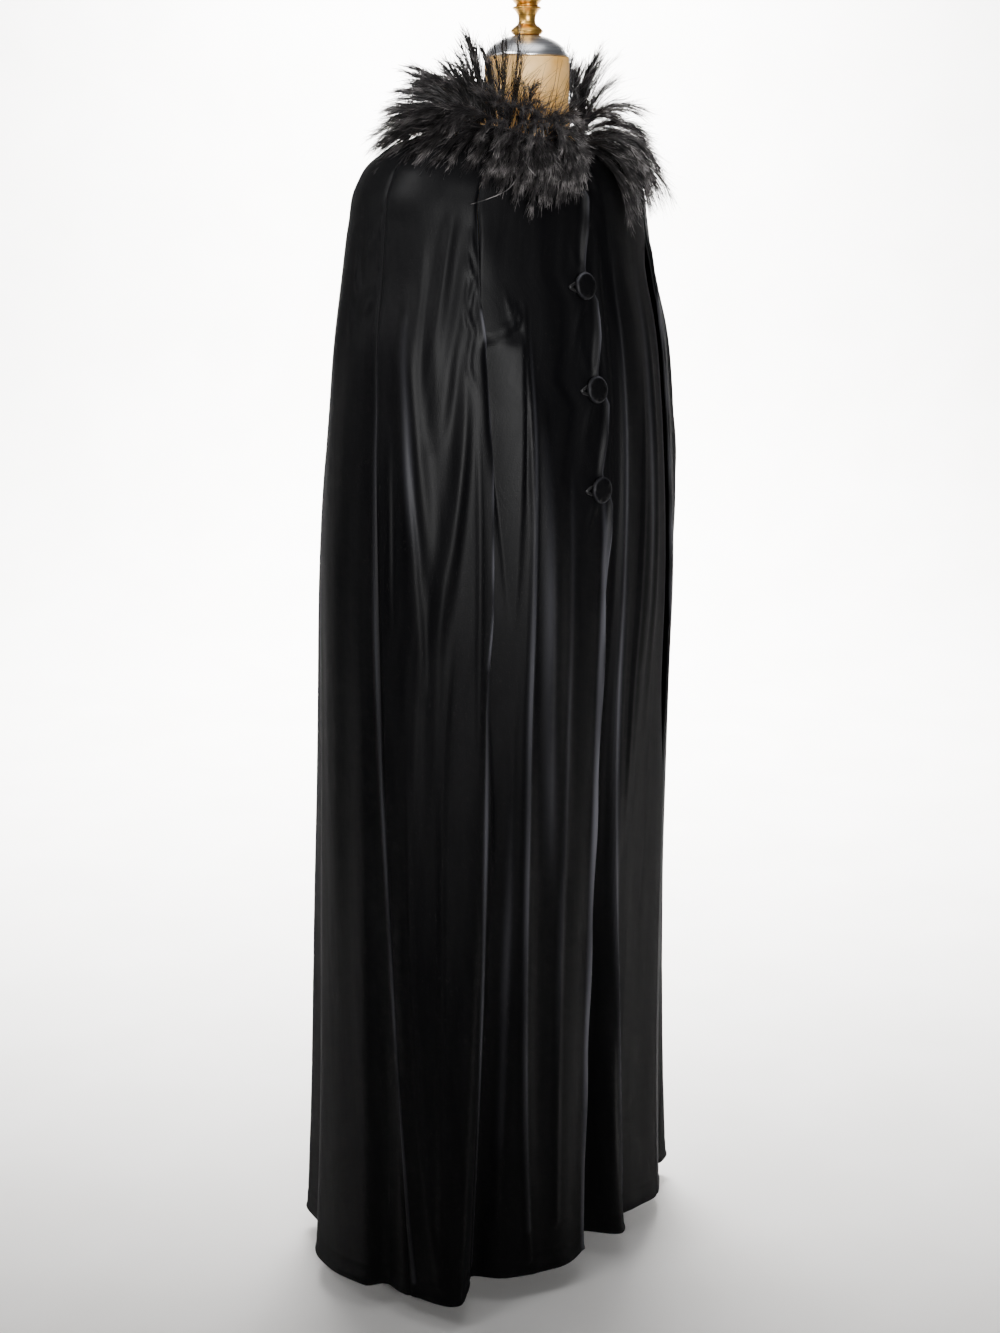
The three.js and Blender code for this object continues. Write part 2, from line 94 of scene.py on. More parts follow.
# Cape sections from the neck seam to the hem: the height at the side, how far the front lies
# below it and the back above it, the half width, the widest line's place, the reach to the
# front and to the back, and how square the back is (1 is an ellipse, less is squarer)
CAPE_SECTIONS = np.array([
    (NECK_SEAM, 20, 6, 62, -28, -90, 34, 1),
    (1473, 24, 8, 98, -24, -103, 66, 0.95),
    (1462, 32, 9, 142, -15, -112, 98, 0.86),
    (1443, 34, 8, 178, -7, -118, 122, 0.78),
    (1414, 25, 6, 198, -2, -121, 137, 0.72),
    (1372, 8, 3, 207, 0, -124, 144, 0.7),
    (1310, 0, 0, 218, 0, -130, 150, 0.7),
    (1240, 0, 0, 234, 0, -143, 150, 0.72),
    (1160, 0, 0, 240, 0, -154, 164, 0.75),
    (1060, 0, 0, 247, 0, -160, 182, 0.78),
    (940, 0, 0, 254, 0, -160, 194, 0.82),
    (800, 0, 0, 257, 0, -153, 204, 0.85),
    (650, 0, 0, 260, 0, -147, 212, 0.87),
    (500, 0, 0, 263, 0, -140, 220, 0.88),
    (350, 0, 0, 267, 0, -134, 226, 0.9),
    (210, 0, 0, 272, 0, -130, 230, 0.9),
    (110, 0, 0, 277, 0, -129, 234, 0.9),
    (HEM, 0, 0, 281, 0, -129, 237, 0.9),
])

# Folds: the heights where each starts and ends, its angle at the top, middle and bottom, how
# far it stands out (or in, if negative) at its middle and bottom, and its width in degrees on
# the side of the smaller and of the larger angle
FOLDS = np.array([
    # right front
    (1200, HEM, 8, 9, 9, 7, 20, 9, 10),
    (1260, HEM, 25, 24, 19, 7, 4, 3, 4),
    (1160, 560, 21, 17, 13, 6, 0, 4, 5),
    (800, HEM, 34, 34, 35, -9, -26, 6, 3),
    # right side panel
    (860, HEM, 41, 41.5, 45, 9, 30, 4, 8),
    (1120, HEM, 84, 80, 74, -12, -36, 12, 20),
    (1310, 950, 70, 64, 57, 5, 0, 3, 3),
    (1410, 1120, 53, 56, 60, 5, 0, 3, 3),
    (1375, 1120, 46.5, 51, 57, 5, 0, 2.5, 3),
    (1190, 880, 47, 51, 56, 5, 0, 3, 3),
    # back
    (1275, 480, 96, 99, 102, 6, 0, 5, 6),
    (1180, HEM, 118, 124, 127, -5, -12, 7, 6),
    (1300, HEM, 130, 137, 142, 10, 24, 6, 5),
    (1200, HEM, 140, 148, 153, -7, -16, 5, 5),
    (1330, HEM, 141, 156, 164, 11, 27, 5, 7),
    (1150, HEM, 168, 173, 176, -8, -20, 6, 5),
    (1260, HEM, 188, 187, 187, 8, 20, 5, 6),
    (1100, HEM, 199, 199, 198, -5, -13, 5, 5),
    (1330, HEM, 222, 213, 209, 12, 28, 6, 5),
    (1200, HEM, 229, 223, 221, -8, -20, 6, 6),
    (1280, HEM, 238, 236, 234, 8, 21, 5, 6),
    (1130, HEM, 248, 248, 247, -4, -11, 6, 6),
    (1200, HEM, 260, 260, 259, 5, 12, 6, 7),
    # left side panel
    (1060, HEM, 274, 275, 277, -9, -24, 9, 7),
    (900, HEM, 288, 289, 290, 4, 10, 8, 6),
    (840, HEM, 303, 303, 304, -5, -14, 5, 5),
    (1360, 1050, 313, 307, 302, 5, 0, 3, 3),
    (1260, 960, 296, 300, 305, 5, 0, 3, 3),
    # left front
    (1100, HEM, 326, 324, 324, 6, 12, 10, 8),
    (960, HEM, 340, 340, 340, -3, -8, 4, 3),
    (1150, 560, 336, 341, 346, 5, 0, 3, 3),
    (1360, HEM, 347, 352, 347, 6, 22, 5, 3),
])

# Narrow creases on the folds, with the same columns
CREASES = np.array([
    # right front
    (1262, 60, 24.6, 25.2, 20, 4.8, 3.4, 0.8, 1.0),
    (800, 590, 37.3, 36.2, 34.4, 2.6, 0, 0.6, 0.6),
    (1290, 1030, 26, 26.4, 26.2, 3.6, 0, 0.8, 1.0),
    (1190, 560, 22, 20, 17, 4.8, 0, 1.6, 2.4),
    (1000, 100, 13, 12, 12, 2.4, 2.4, 0.9, 1.1),
    (900, 60, 38.4, 37.4, 36.2, 4.2, 5, 0.8, 0.8),
    (860, 120, 30, 29, 29, 2.4, 2, 1.0, 1.2),
    (1410, 1225, 42, 41.5, 40, 4.2, 0, 7, 1.6),
    # right side panel
    (1275, 1000, 69.8, 69, 64, 3.4, 0, 1.2, 2.6),
    (1130, 820, 68, 63.5, 59, 3.2, 0, 1.4, 3.2),
    (1400, 1150, 53, 58, 62.5, 2.6, 0, 1.8, 2.2),
    (1365, 1170, 65, 64.5, 64, 2.0, 0, 2.0, 2.2),
    (1300, 900, 47.6, 48.6, 55.5, 3.4, 0, 1.8, 2.4),
    (1090, 640, 54, 55, 55, 2.8, 0, 2, 2.6),
    (1160, 700, 43.6, 41.8, 40.4, 2.4, 0, 0.7, 0.9),
    (1270, 60, 82, 76.6, 58.6, 2.8, 2.8, 0.8, 0.8),
    (760, 80, 53, 51, 50, 2.4, 2.6, 1.0, 1.2),
    (820, 60, 66, 62, 50, 2.0, 2.4, 1.2, 1.2),
    (1150, 880, 76, 74.5, 73, 2.4, 0, 1.1, 1.4),
    (1010, 620, 60, 62, 63, 1.5, 0, 1.6, 2),
    (930, 640, 50, 52, 52, 1.6, 0, 1.4, 1.8),
    # left front
    (1345, 40, 347.5, 352.4, 341, 5, 4, 0.9, 0.8),
    (1380, 1120, 353, 355.5, 356, 3.6, 0, 1.4, 1.6),
    (1300, 700, 353.5, 356.8, 357, 2, 0, 0.7, 0.6),
    (1290, 700, 331, 333.5, 336, 4.4, 0, 1.4, 1.7),
    (1240, 540, 338, 344, 347, 2.6, 0, 0.9, 1),
    (1120, 420, 331, 333, 335, 1.4, 0, 1.2, 1.4),
])

# Lines of painted highlight along the folds' crests: pale grey mixed into the velvet's colour where the
# lights would make a sheen. Columns as in the creases, but the sizes are shares of the full effect.
PAINTED_HIGHLIGHT_LINES = np.array([
    (1120, 40, 1.2, 0.9, 0.9, 1.1, 0.6, 0.7, 0.7),
    (1262, 100, 24.6, 25.0, 20, 0.6, 0.2, 0.5, 0.6),
    (1150, 560, 21.5, 19.5, 15, 0.25, 0, 1.4, 1.8),
    (900, 60, 38.2, 37.0, 35.4, 0.75, 0.4, 0.6, 0.7),
    (700, 200, 29.6, 29, 28.6, 0.2, 0, 1.0, 1.0),
    (1100, 300, 12.5, 12, 12, 0.2, 0, 0.8, 0.8),
    (1345, 60, 347, 351.4, 342, 0.7, 0.3, 0.8, 0.8),
    (1330, 900, 333, 336, 338, 0.3, 0, 1.4, 1.4),
    (1270, 60, 82, 76.6, 58.6, 0.3, 0.2, 0.7, 0.7),
    (1280, 980, 69.4, 67.4, 62, 0.3, 0, 1.3, 1.6),
])

# The flat side of the right front's large fold: the height, and the angles of its low edge at
# the slit and of its high edge. The slope is how far it falls for its width.
FACET = np.array([
    (1244, 39.6, 27.9), (1144, 39.2, 29.2), (1012, 34.8, 30.2), (922, 31.9, 30.7), (880, 31, 30.8),
])
FACET_SLOPE = 0.21

# Short puckers: angle and height of the middle, half length, half width, turn away from the
# vertical in degrees (positive leans towards larger angles at the top), and depth
PUCKERS = np.array([
    # beside the top of the right slit
    (45.2, 1352, 20, 3.2, 14, 2.0),
    (45.6, 1322, 15, 3.4, 24, 2.6),
    (45.2, 1296, 17, 3.4, -14, 2.8),
    (45.8, 1268, 15, 3.6, 26, 2.6),
    (45.0, 1242, 18, 3.2, -10, 2.2),
    (45.4, 1210, 18, 3.4, 16, 1.8),
    # the fold that hangs over the lit facet, with the hook above it
    (33.0, 1256, 24, 3.4, 112, 3.2),
    (30.4, 1250, 14, 3.4, 110, -2.2),
    (28.4, 1271, 10, 2.6, 40, 3.0),
    (31.0, 1276, 12, 2.8, 28, 2.2),
    # the kinked pucker at the right arm's outline
    (92, 1352, 24, 4.6, -16, 3.0),
    (96, 1312, 24, 4.6, 22, 3.4),
    (90, 1288, 20, 4.2, -24, 3.0),
    (97, 1268, 20, 4.0, 10, 2.4),
    # the left side has its own
    (314.4, 1330, 20, 3.4, -16, 2.2),
    (314.8, 1290, 18, 3.4, 12, 2.6),
    (314.2, 1248, 18, 3.4, -20, 2.0),
    (268, 1330, 24, 4.6, 18, 2.6),
    (264, 1288, 22, 4.6, -20, 2.6),
    # pulls beside the buttons
    (4.6, 1325, 26, 4.0, 30, 1.4),
    (5.4, 1272, 26, 4.0, -34, 1.4),
    (4.8, 1206, 24, 3.8, 26, 1.3),
    (5.2, 1158, 26, 4.0, -30, 1.4),
    (4.8, 1090, 24, 3.8, 30, 1.2),
    (5.4, 1040, 28, 4.0, -26, 1.4),
])

# The arm-slit seam and the side seam by height, as angles, and the left front's depth below
# the right front. The left side's seams mirror them.
SLIT_SEAM = np.array([(NECK_SEAM, 46), (1366, 43), (1160, 41), (940, 39.5), (650, 38), (HEM, 37)])
SIDE_SEAM = np.array([(NECK_SEAM, 92), (1366, 87), (1240, 83), (940, 79), (650, 76), (350, 69), (HEM, 60)])
LAYER_GAPS = np.array([(NECK_SEAM, 4.6), (1060, 5.4), (800, 10), (HEM, 26)])

# How far the right front's edge drifts over the centre line: it slips behind each button and
# drifts back until the next one
EDGE_DRIFT = np.array([
    (NECK_SEAM, 0), (1470, 3), (1436, -5), (1410, -3), (1318, 6.5), (1284, -6.5), (1262, -4), (1199, 6.5),
    (1166, -6.5), (1146, -4), (1082, 6.5), (1048, -6), (1020, -3), (940, 1), (860, -1), (700, 0), (HEM, 0),
])


def by_height(pairs, height):
    """The second column of the pairs at a height, on straight lines between the rows."""
    return np.interp(height, pairs[::-1, 0], pairs[::-1, 1])


def ease(start, end, value):
    """0 before start, 1 after end, and 3t^2 - 2t^3 between them."""
    t = np.clip((value - start) / (end - start), 0, 1)
    return t * t * (3 - 2 * t)


def bell(away, width):
    """A bell curve: 1 at its middle line, and 1/e at one width from it."""
    return np.exp(-(away / width) ** 2)


def through_rows(rows, level):
    """A table's columns at each level: cubic curves through the rows, with each row's slope
    taken from its two neighbours. The first column falls from row to row."""
    x = rows[::-1, 0]
    y = rows[::-1, 1:]
    slope = np.gradient(y, x, axis=0)
    level = np.clip(level, x[0], x[-1])
    low = np.clip(np.searchsorted(x, level, side="right") - 1, 0, len(x) - 2)
    span = (x[low + 1] - x[low])[..., None]
    t = (level - x[low])[..., None] / span
    ahead = (2 * t ** 3 - 3 * t ** 2 + 1) * y[low] + (t ** 3 - 2 * t ** 2 + t) * span * slope[low]
    behind = (3 * t ** 2 - 2 * t ** 3) * y[low + 1] + (t ** 3 - t ** 2) * span * slope[low + 1]
    return np.moveaxis(ahead + behind, -1, 0)


def through_three(first, middle, last, along):
    """The parabola through three values at 0, 1/2 and 1."""
    bend = 2 * (first + last) - 4 * middle
    return first + (last - first - bend) * along + bend * along ** 2


def turn_between(angle, centre):
    """The signed difference of two angles, from -180 to 180."""
    return (angle - centre + 180) % 360 - 180


def fold_depth(table, angle, height):
    """The sum of the folds: each is a bell curve across its middle line, with its own width on
    each side, and its size along the line is a parabola that starts at nothing."""
    depth = np.zeros(np.broadcast(angle, height).shape)
    for top, bottom, top_angle, mid_angle, end_angle, mid_size, end_size, before, after in table:
        along = (top - height) / (top - bottom)
        inside = (along > 0) & (along <= 1)
        away = turn_between(angle, through_three(top_angle, mid_angle, end_angle, along))
        width = np.where(away < 0, before, after)
        size = through_three(0, mid_size, end_size, along)
        depth += np.where(inside, size * bell(away, width), 0)
    return depth


def painted_ridge_highlight(angle, height, edges):
    """The painted highlight's share, from 0 to 1: the table's lines, and the rolled edges under
    a short sine of the height, both times a slow sine that breaks the painted highlight up."""
    short = 0.45 + 0.3 * np.sin(height / 14)
    slow = 0.75 + 0.25 * np.sin(height / 47 + angle / 3)
    return np.clip((fold_depth(PAINTED_HIGHLIGHT_LINES, angle, height) + short * edges) * slow, 0, 1)


def pucker_depth(angle, height):
    """The sum of the puckers: bell curves that are long one way and narrow the other, turned
    by an angle and bent a little along their length."""
    bend = 0.006
    depth = np.zeros(np.broadcast(angle, height).shape)
    for middle, level, length, width, turn, size in PUCKERS:
        across = turn_between(angle, middle) * SLIT_DEGREE
        up = height - level
        cos, sin = math.cos(math.radians(turn)), math.sin(math.radians(turn))
        along = up * cos + across * sin
        aside = across * cos - up * sin + bend * along ** 2
        depth += size * np.exp(-(along / length) ** 2 - (aside / width) ** 2)
    return depth


def flat_facet(angle, height):
    """A flat slope between the facet's two edges: it falls evenly from its high edge to its low
    one, and dies away past each of them as a bell curve 1.1 degrees wide. It starts sharply at
    its top and fades in over its lowest 80 mm."""
    top, bottom = FACET[0, 0], FACET[-1, 0]
    low, high = (np.interp(height, FACET[::-1, 0], FACET[::-1, k]) for k in (1, 2))
    span = np.maximum(low - high, 0.1)
    part = np.clip((angle - high) / span, 0, 1)
    past = np.maximum(np.maximum(high - angle, angle - low), 0)
    tall = ease(top + 6, top - 6, height) * ease(bottom, bottom + 80, height)
    near = np.where(np.abs(angle) > 90, 0, bell(past, 1.1))
    return tall * near * FACET_SLOPE * span * SLIT_DEGREE * (0.5 - part)


def soft_ripples(angle, height):
    """Faint long waves that no table lists: three sines of the angle and height, uneven in
    spacing, that fade out towards the neck."""
    fade = ease(1420, 1250, height)
    wave = 0.7 * np.sin(np.radians(17 * angle + 0.05 * height))
    wave += 0.5 * np.sin(np.radians(29 * angle - 0.11 * height + 60))
    wave += 0.35 * np.sin(np.radians(7 * angle + 0.4 * height))
    return fade * wave


def cape_point(angle, height, extra=0.0, fine=True):
    """A point of the cloth's middle surface. In plan it is an oval whose back may be squarer:
    x = -half width * sin(angle), y = widest line + middle - reach * cos(angle), moved out along
    the oval's normal by the folds. The front hangs lower than the side near the neck."""
    angle, height = np.broadcast_arrays(np.asarray(angle, float), np.asarray(height, float))
    level = np.clip(height, HEM, NECK_SEAM)
    drop, rise, half_width, middle, front, back, square = through_rows(CAPE_SECTIONS, level)
    side = -np.sin(np.radians(angle))
    ahead = np.cos(np.radians(angle))
    reach = np.where(ahead > 0, middle - front, back - middle)
    curve = np.where(ahead > 0, ahead, -np.abs(ahead) ** square)
    out = np.stack([side / half_width, -ahead / reach], -1)
    out /= np.linalg.norm(out, axis=-1, keepdims=True)
    moved = fold_depth(FOLDS, angle, height) + extra
    if fine:
        moved = moved + fold_depth(CREASES, angle, height) + pucker_depth(angle, height)
        moved = moved + flat_facet(angle, height) + soft_ripples(angle, height) + hem_stitches(height)
    return np.stack([
        half_width * side + out[..., 0] * moved,
        WIDEST_Y + middle - reach * curve + out[..., 1] * moved,
        level + np.where(ahead > 0, -drop, rise) * ahead ** 2,
    ], -1)


def hem_stitches(height):
    """The hem's stitch line, 29 above the edge: a bell curve's groove with a rise below it."""
    up = height - HEM
    return 0.4 * ease(30, 22, up) - 0.35 * bell(up - 29, 3.2)


def cloth_out(angle, height, fine=True, turn=0.3, step=2.5):
    """The way out of the cloth: the cross product of the steps along and down the surface."""
    upper = np.minimum(height + step, NECK_SEAM)
    lower = np.maximum(height - step, HEM)
    along = cape_point(angle + turn, height, 0, fine) - cape_point(angle - turn, height, 0, fine)
    down = cape_point(angle, lower, 0, fine) - cape_point(angle, upper, 0, fine)
    out = np.cross(along, down)
    return out / np.linalg.norm(out, axis=-1, keepdims=True)


def slit_open(height):
    """1 where the arm slit's edges stand apart, 0 past its ends."""
    return ease(PART_FROM, PART_FULL, height) * (1 - ease(SLIT_TOP, PART_ENDS, height))


def slit_covered(height):
    """1 where the side panel hangs over the slit. It starts later than the opening."""
    return ease(PART_FULL, COVER_FULL, height) * (1 - ease(COVER_ENDS, SLIT_TOP, height))


def near_slit(angle, height):
    """A bell curve round the slit, 5 degrees wide."""
    return bell(np.abs(turn_between(angle, 0)) - by_height(SLIT_SEAM, height), 5)


def front_extra(angle, height):
    """The front sinks under the slit's overhang."""
    return -SLIT_SINK * slit_open(height) * near_slit(angle, height)


def right_front_extra(angle, height):
    """As the front, with bell curves on it: its edge stands up as a narrow ridge, but not where
    the buttons hold it, and the cloth gapes a little between them."""
    gape = GAPE * sum(bell(height - level, 24) for level in GAPE_HEIGHTS)
    held = np.minimum(sum(bell(height - level, 13) for level in BUTTON_HEIGHTS), 1)
    ridge = (RIDGE + 1.2 * np.sin(height / 31)) * (1 - held) * ease(60, 300, height)
    edge = angle - front_edge(height)
    return front_extra(angle, height) + gape * bell(angle, 3) + ridge * bell(edge, 1.5)


def side_extra(angle, height):
    """The side panel lifts over the slit."""
    return SLIT_LIFT * slit_open(height) * near_slit(angle, height)


def left_front_extra(angle, height):
    """The left front runs on behind the right one."""
    under = ease(SINK_FROM, SINK_FULL, turn_between(angle, 0))
    return front_extra(angle, height) - by_height(LAYER_GAPS, height) * under


def half_gap(height):
    """Half a seam's gap, as an angle at the section's size."""
    return np.degrees(SEAM_GAP / 2 / (through_rows(CAPE_SECTIONS, height)[2] * SHORTEST_DEGREE))


def front_edge(height):
    """The right front's edge: its drift as an angle."""
    return by_height(EDGE_DRIFT, height) / FRONT_DEGREE


def slit_edge(height):
    """The right front's edge at the slit seam, half a gap before it."""
    return by_height(SLIT_SEAM, height) - half_gap(height)


def over_slit(height):
    """The side panel's edge: half a gap past the slit seam, or over the slit where it covers."""
    return by_height(SLIT_SEAM, height) + half_gap(height) - SLIT_OVERLAP * slit_covered(height)


def side_edge(height):
    """The side panel's edge, half a gap before the side seam."""
    return by_height(SIDE_SEAM, height) - half_gap(height)


def back_edge(height):
    """The back's edge, half a gap past the side seam."""
    return by_height(SIDE_SEAM, height) + half_gap(height)


def degree_length(height):
    """The length of one degree round the front at a height."""
    ends = cape_point(np.array([4.5, 3.5]), np.full(2, float(height)), 0, False)
    return float(np.linalg.norm(ends[0] - ends[1]))


def linear(hex_colour):
    """An sRGB hex colour as linear red, green, blue and 1."""
    parts = [int(hex_colour[place:place + 2], 16) / 255 for place in (1, 3, 5)]
    return [p / 12.92 if p <= 0.04045 else ((p + 0.055) / 1.055) ** 2.4 for p in parts] + [1]


def add_node(tree, kind, inputs=None, **settings):
    """Adds a node, sets its properties, and sets or links its inputs."""
    node = tree.nodes.new(kind)
    for name, value in settings.items():
        setattr(node, name, value)
    for name, value in (inputs or {}).items():
        if isinstance(value, bpy.types.NodeSocket):
            tree.links.new(value, node.inputs[name])
        else:
            node.inputs[name].default_value = value
    return node


def new_material(name):
    """A material with an empty tree, and its tree."""
    material = bpy.data.materials.new(name)
    material.use_nodes = True
    material.node_tree.nodes.clear()
    return material, material.node_tree


def finish_material(tree, surface):
    """Joins a shader to the output."""
    add_node(tree, "ShaderNodeOutputMaterial", {"Surface": surface.outputs[0]})


def object_place(tree):
    """Each point's place on the object, in metres."""
    return add_node(tree, "ShaderNodeTexCoord").outputs["Object"]


def stretched(tree, place, scale):
    """A place with each axis scaled by its own number."""
    return add_node(tree, "ShaderNodeMapping", {"Vector": place, "Scale": scale}).outputs["Vector"]


def noise(tree, place, scale, detail, roughness=0.5):
    """Soft noise from 0 to 1, with its scale in patches to the metre."""
    return add_node(tree, "ShaderNodeTexNoise", {
        "Vector": place, "Scale": scale, "Detail": detail, "Roughness": roughness}).outputs["Fac"]


def relief(tree, height, strength, depth, **under):
    """A bump as deep as given in metres, over another one if that is named as its Normal."""
    return add_node(tree, "ShaderNodeBump", {
        "Height": height, "Strength": strength, "Distance": depth, **under}).outputs["Normal"]


def ramp(tree, factor, stops):
    """A colour ramp through hex colours at places from 0 to 1."""
    node = add_node(tree, "ShaderNodeValToRGB", {"Fac": factor})
    elements = node.color_ramp.elements
    while len(elements) < len(stops):
        elements.new(0.5)
    for element, (place, colour) in zip(elements, stops):
        element.position = place
        element.color = linear(colour)
    return node.outputs["Color"]


def black_velvet(name, gloss):
    """Cotton velvet, woven with a cut pile 2 mm high: nearly black face on, with a grey gloss
    that is broad and faint where the cloth is seen edge-on, and a weak sheen. The pile's grain
    is 1.5 mm, coarser than real so that it shows, and crushed streaks 25 mm wide and 300 mm
    long change its tone and gloss along the hang. On the crests of folds and on rolled edges a
    painted highlight, pale grey mixed into the base colour, shows as thin lines in place of sheen."""
    material, tree = new_material(name)
    place = add_node(tree, "ShaderNodeUVMap", uv_map="cloth").outputs["UV"]
    crush = noise(tree, stretched(tree, place, (40, 3.3, 1)), 1, 4, 0.6)
    grain = noise(tree, place, 650, 2)
    tone = ramp(tree, crush, [(0.3, "#020203"), (0.7, "#070708")])
    # Painted highlight: the stored share mixes pale grey into the base colour on ridges and rolled edges
    painted_highlight = add_node(tree, "ShaderNodeAttribute", attribute_name="painted_ridge_highlight").outputs["Fac"]
    tone = add_node(tree, "ShaderNodeMixRGB",
                    {"Fac": painted_highlight, "Color1": tone, "Color2": linear("#4a4a4f")}).outputs["Color"]
    crushed = add_node(tree, "ShaderNodeMapRange", {
        "Value": crush, "From Min": 0.3, "From Max": 0.7, "To Min": 0.44, "To Max": 0.54})
    edge_on = add_node(tree, "ShaderNodeLayerWeight", {"Blend": 0.5}).outputs["Facing"]
    broad = add_node(tree, "ShaderNodeMapRange",
                     {"Value": edge_on, "From Min": 0.35, "From Max": 0.8, "To Min": 0, "To Max": 0.5})
    rough = add_node(tree, "ShaderNodeMath",
                     {0: crushed.outputs["Result"], 1: broad.outputs["Result"]}, operation="ADD")
    fine = relief(tree, grain, 0.45, 0.0005)
    soft = relief(tree, crush, 0.3, 0.0016, Normal=fine)
    cloth = add_node(tree, "ShaderNodeBsdfPrincipled", {
        "Base Color": tone, "Roughness": rough.outputs["Value"], "IOR": 1.5,
        "Specular IOR Level": gloss, "Sheen Weight": 0.025, "Sheen Roughness": 0.25,
        "Sheen Tint": linear("#e6e6f0"), "Normal": soft}, distribution="GGX")
    finish_material(tree, cloth)
    return material


def dyed_feather():
    """Dyed ostrich barbs: black at the root, and grey towards the thin ends as a painted highlight,
    with a silky gloss along each barb. The painted grey also changes in patches of about 13 mm."""
    material, tree = new_material("dyed_ostrich_feather")
    tip = add_node(tree, "ShaderNodeAttribute", attribute_name="towards_tip").outputs["Fac"]
    patch = noise(tree, object_place(tree), 75, 4)
    both = add_node(tree, "ShaderNodeMath", {0: tip, 1: patch}, operation="MULTIPLY")
    tone = ramp(tree, both.outputs["Value"],
                [(0.08, "#050505"), (0.3, "#161515"), (0.47, "#2b2929"), (0.63, "#726e6d")])
    barb = add_node(tree, "ShaderNodeBsdfPrincipled", {
        "Base Color": tone, "Roughness": 0.45, "IOR": 1.54, "Specular IOR Level": 0.2,
        "Sheen Weight": 0.06, "Sheen Roughness": 0.4, "Sheen Tint": linear("#cfc8cc")})
    finish_material(tree, barb)
    return material


def form_cloth():
    """Woven cotton cover in cream, aged to a warm gold: matt, with threads drawn 1.2 mm apart
    so that they show, and faint stains about 40 mm across."""
    material, tree = new_material("aged_cream_cotton_cover")
    place = object_place(tree)
    threads = add_node(tree, "ShaderNodeTexWave",
                       {"Vector": place, "Scale": 260, "Distortion": 0.4}, bands_direction="Z")
    tone = ramp(tree, noise(tree, place, 25, 4), [(0.3, "#c8923f"), (0.7, "#edc382")])
    weave = relief(tree, threads.outputs["Fac"], 0.2, 0.0003)
    cover = add_node(tree, "ShaderNodeBsdfPrincipled",
                     {"Base Color": tone, "Roughness": 0.7, "IOR": 1.5, "Normal": weave})
    finish_material(tree, cover)
    return material


def spun_metal(name, colour, dark, roughness, ring):
    """A turned or spun metal: mirror-like, with fine rings round its axis that the tool left."""
    material, tree = new_material(name)
    rings = noise(tree, stretched(tree, object_place(tree), (4, 4, 1 / ring)), 1, 3)
    tone = ramp(tree, rings, [(0.35, dark), (0.6, colour)])
    spread = add_node(tree, "ShaderNodeMapRange",
                      {"Value": rings, "To Min": roughness * 0.7, "To Max": roughness * 1.4})
    metal = add_node(tree, "ShaderNodeBsdfPrincipled", {
        "Base Color": tone, "Roughness": spread.outputs["Result"], "Metallic": 1.0,
        "Normal": relief(tree, rings, 0.1, 0.0002)})
    finish_material(tree, metal)
    return material


def stained_wood():
    """Turned beech, stained dark and varnished: grain lines 3 mm apart under a clear coat."""
    material, tree = new_material("stained_varnished_beech")
    grain = noise(tree, stretched(tree, object_place(tree), (330, 12, 30)), 1, 5)
    tone = ramp(tree, grain, [(0.3, "#1d120c"), (0.7, "#3f2617")])
    wood = add_node(tree, "ShaderNodeBsdfPrincipled", {
        "Base Color": tone, "Roughness": 0.45, "IOR": 1.5, "Coat Weight": 0.4, "Coat Roughness": 0.15})
    finish_material(tree, wood)
    return material


def studio_paper():
    """Matt paper backdrop, off white, with a very faint mottle 200 mm across."""
    material, tree = new_material("matt_backdrop_paper")
    mottle = noise(tree, object_place(tree), 5, 2)
    tone = ramp(tree, mottle, [(0.3, "#eceae7"), (0.7, "#f2f0ee")])
    paper = add_node(tree, "ShaderNodeBsdfPrincipled", {"Base Color": tone, "Roughness": 0.9})
    finish_material(tree, paper)
    return material


def show(name, data):
    """A new object of the scene."""
    thing = bpy.data.objects.new(name, data)
    bpy.context.scene.collection.objects.link(thing)
    return thing


def add_piece(name, points, faces, material):
    """A smooth mesh object from points in millimetres, riding on the one body."""
    mesh = bpy.data.meshes.new(name)
    mesh.from_pydata(np.asarray(points) * 0.001, [], faces)
    mesh.materials.append(material)
    mesh.shade_smooth()
    piece = show(name, mesh)
    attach(piece, "root")
    return piece


def add_cloth_map(piece, places):
    """The flat map of a cloth piece in metres, for the velvet's pattern, from a place in
    millimetres for each point."""
    layer = piece.data.uv_layers.new(name="cloth")
    corner = np.zeros(len(piece.data.loops), np.int32)
    piece.data.loops.foreach_get("vertex_index", corner)
    layer.data.foreach_set("uv", (places[corner] * 0.001).astype(np.float32).ravel())


def add_share(piece, name, share):
    """Stores a value from 0 to 1 for each point, which a material reads by its name."""
    stored = piece.data.attributes.new(name, "FLOAT", "POINT")
    stored.data.foreach_set("value", share.astype(np.float32))


def grid_quads(rows, columns, ring=False):
    """Quads of a grid stored row by row, facing along (columns x rows). A ring joins each
    row's last point to its first."""
    across = columns if ring else columns - 1
    row, column = np.meshgrid(np.arange(rows - 1), np.arange(across), indexing="ij")
    a = (row * columns + column).ravel()
    b = (row * columns + (column + 1) % columns).ravel()
    return np.stack([a, b, b + columns, a + columns], 1)


def closed_rings(rings, first, last):
    """A closed body from rings of points, as an array ring x place x 3: quads between the
    rings, and a fan from each end ring to its own point."""
    rows, around = rings.shape[:2]
    points = np.concatenate([rings.reshape(-1, 3), [first, last]])
    here = np.arange(around)
    after = (here + 1) % around
    final = (rows - 1) * around
    start = np.stack([after, here, np.full(around, len(points) - 2)], 1)
    end = np.stack([final + here, final + after, np.full(around, len(points) - 1)], 1)
    return points, grid_quads(rows, around, ring=True).tolist() + start.tolist() + end.tolist()


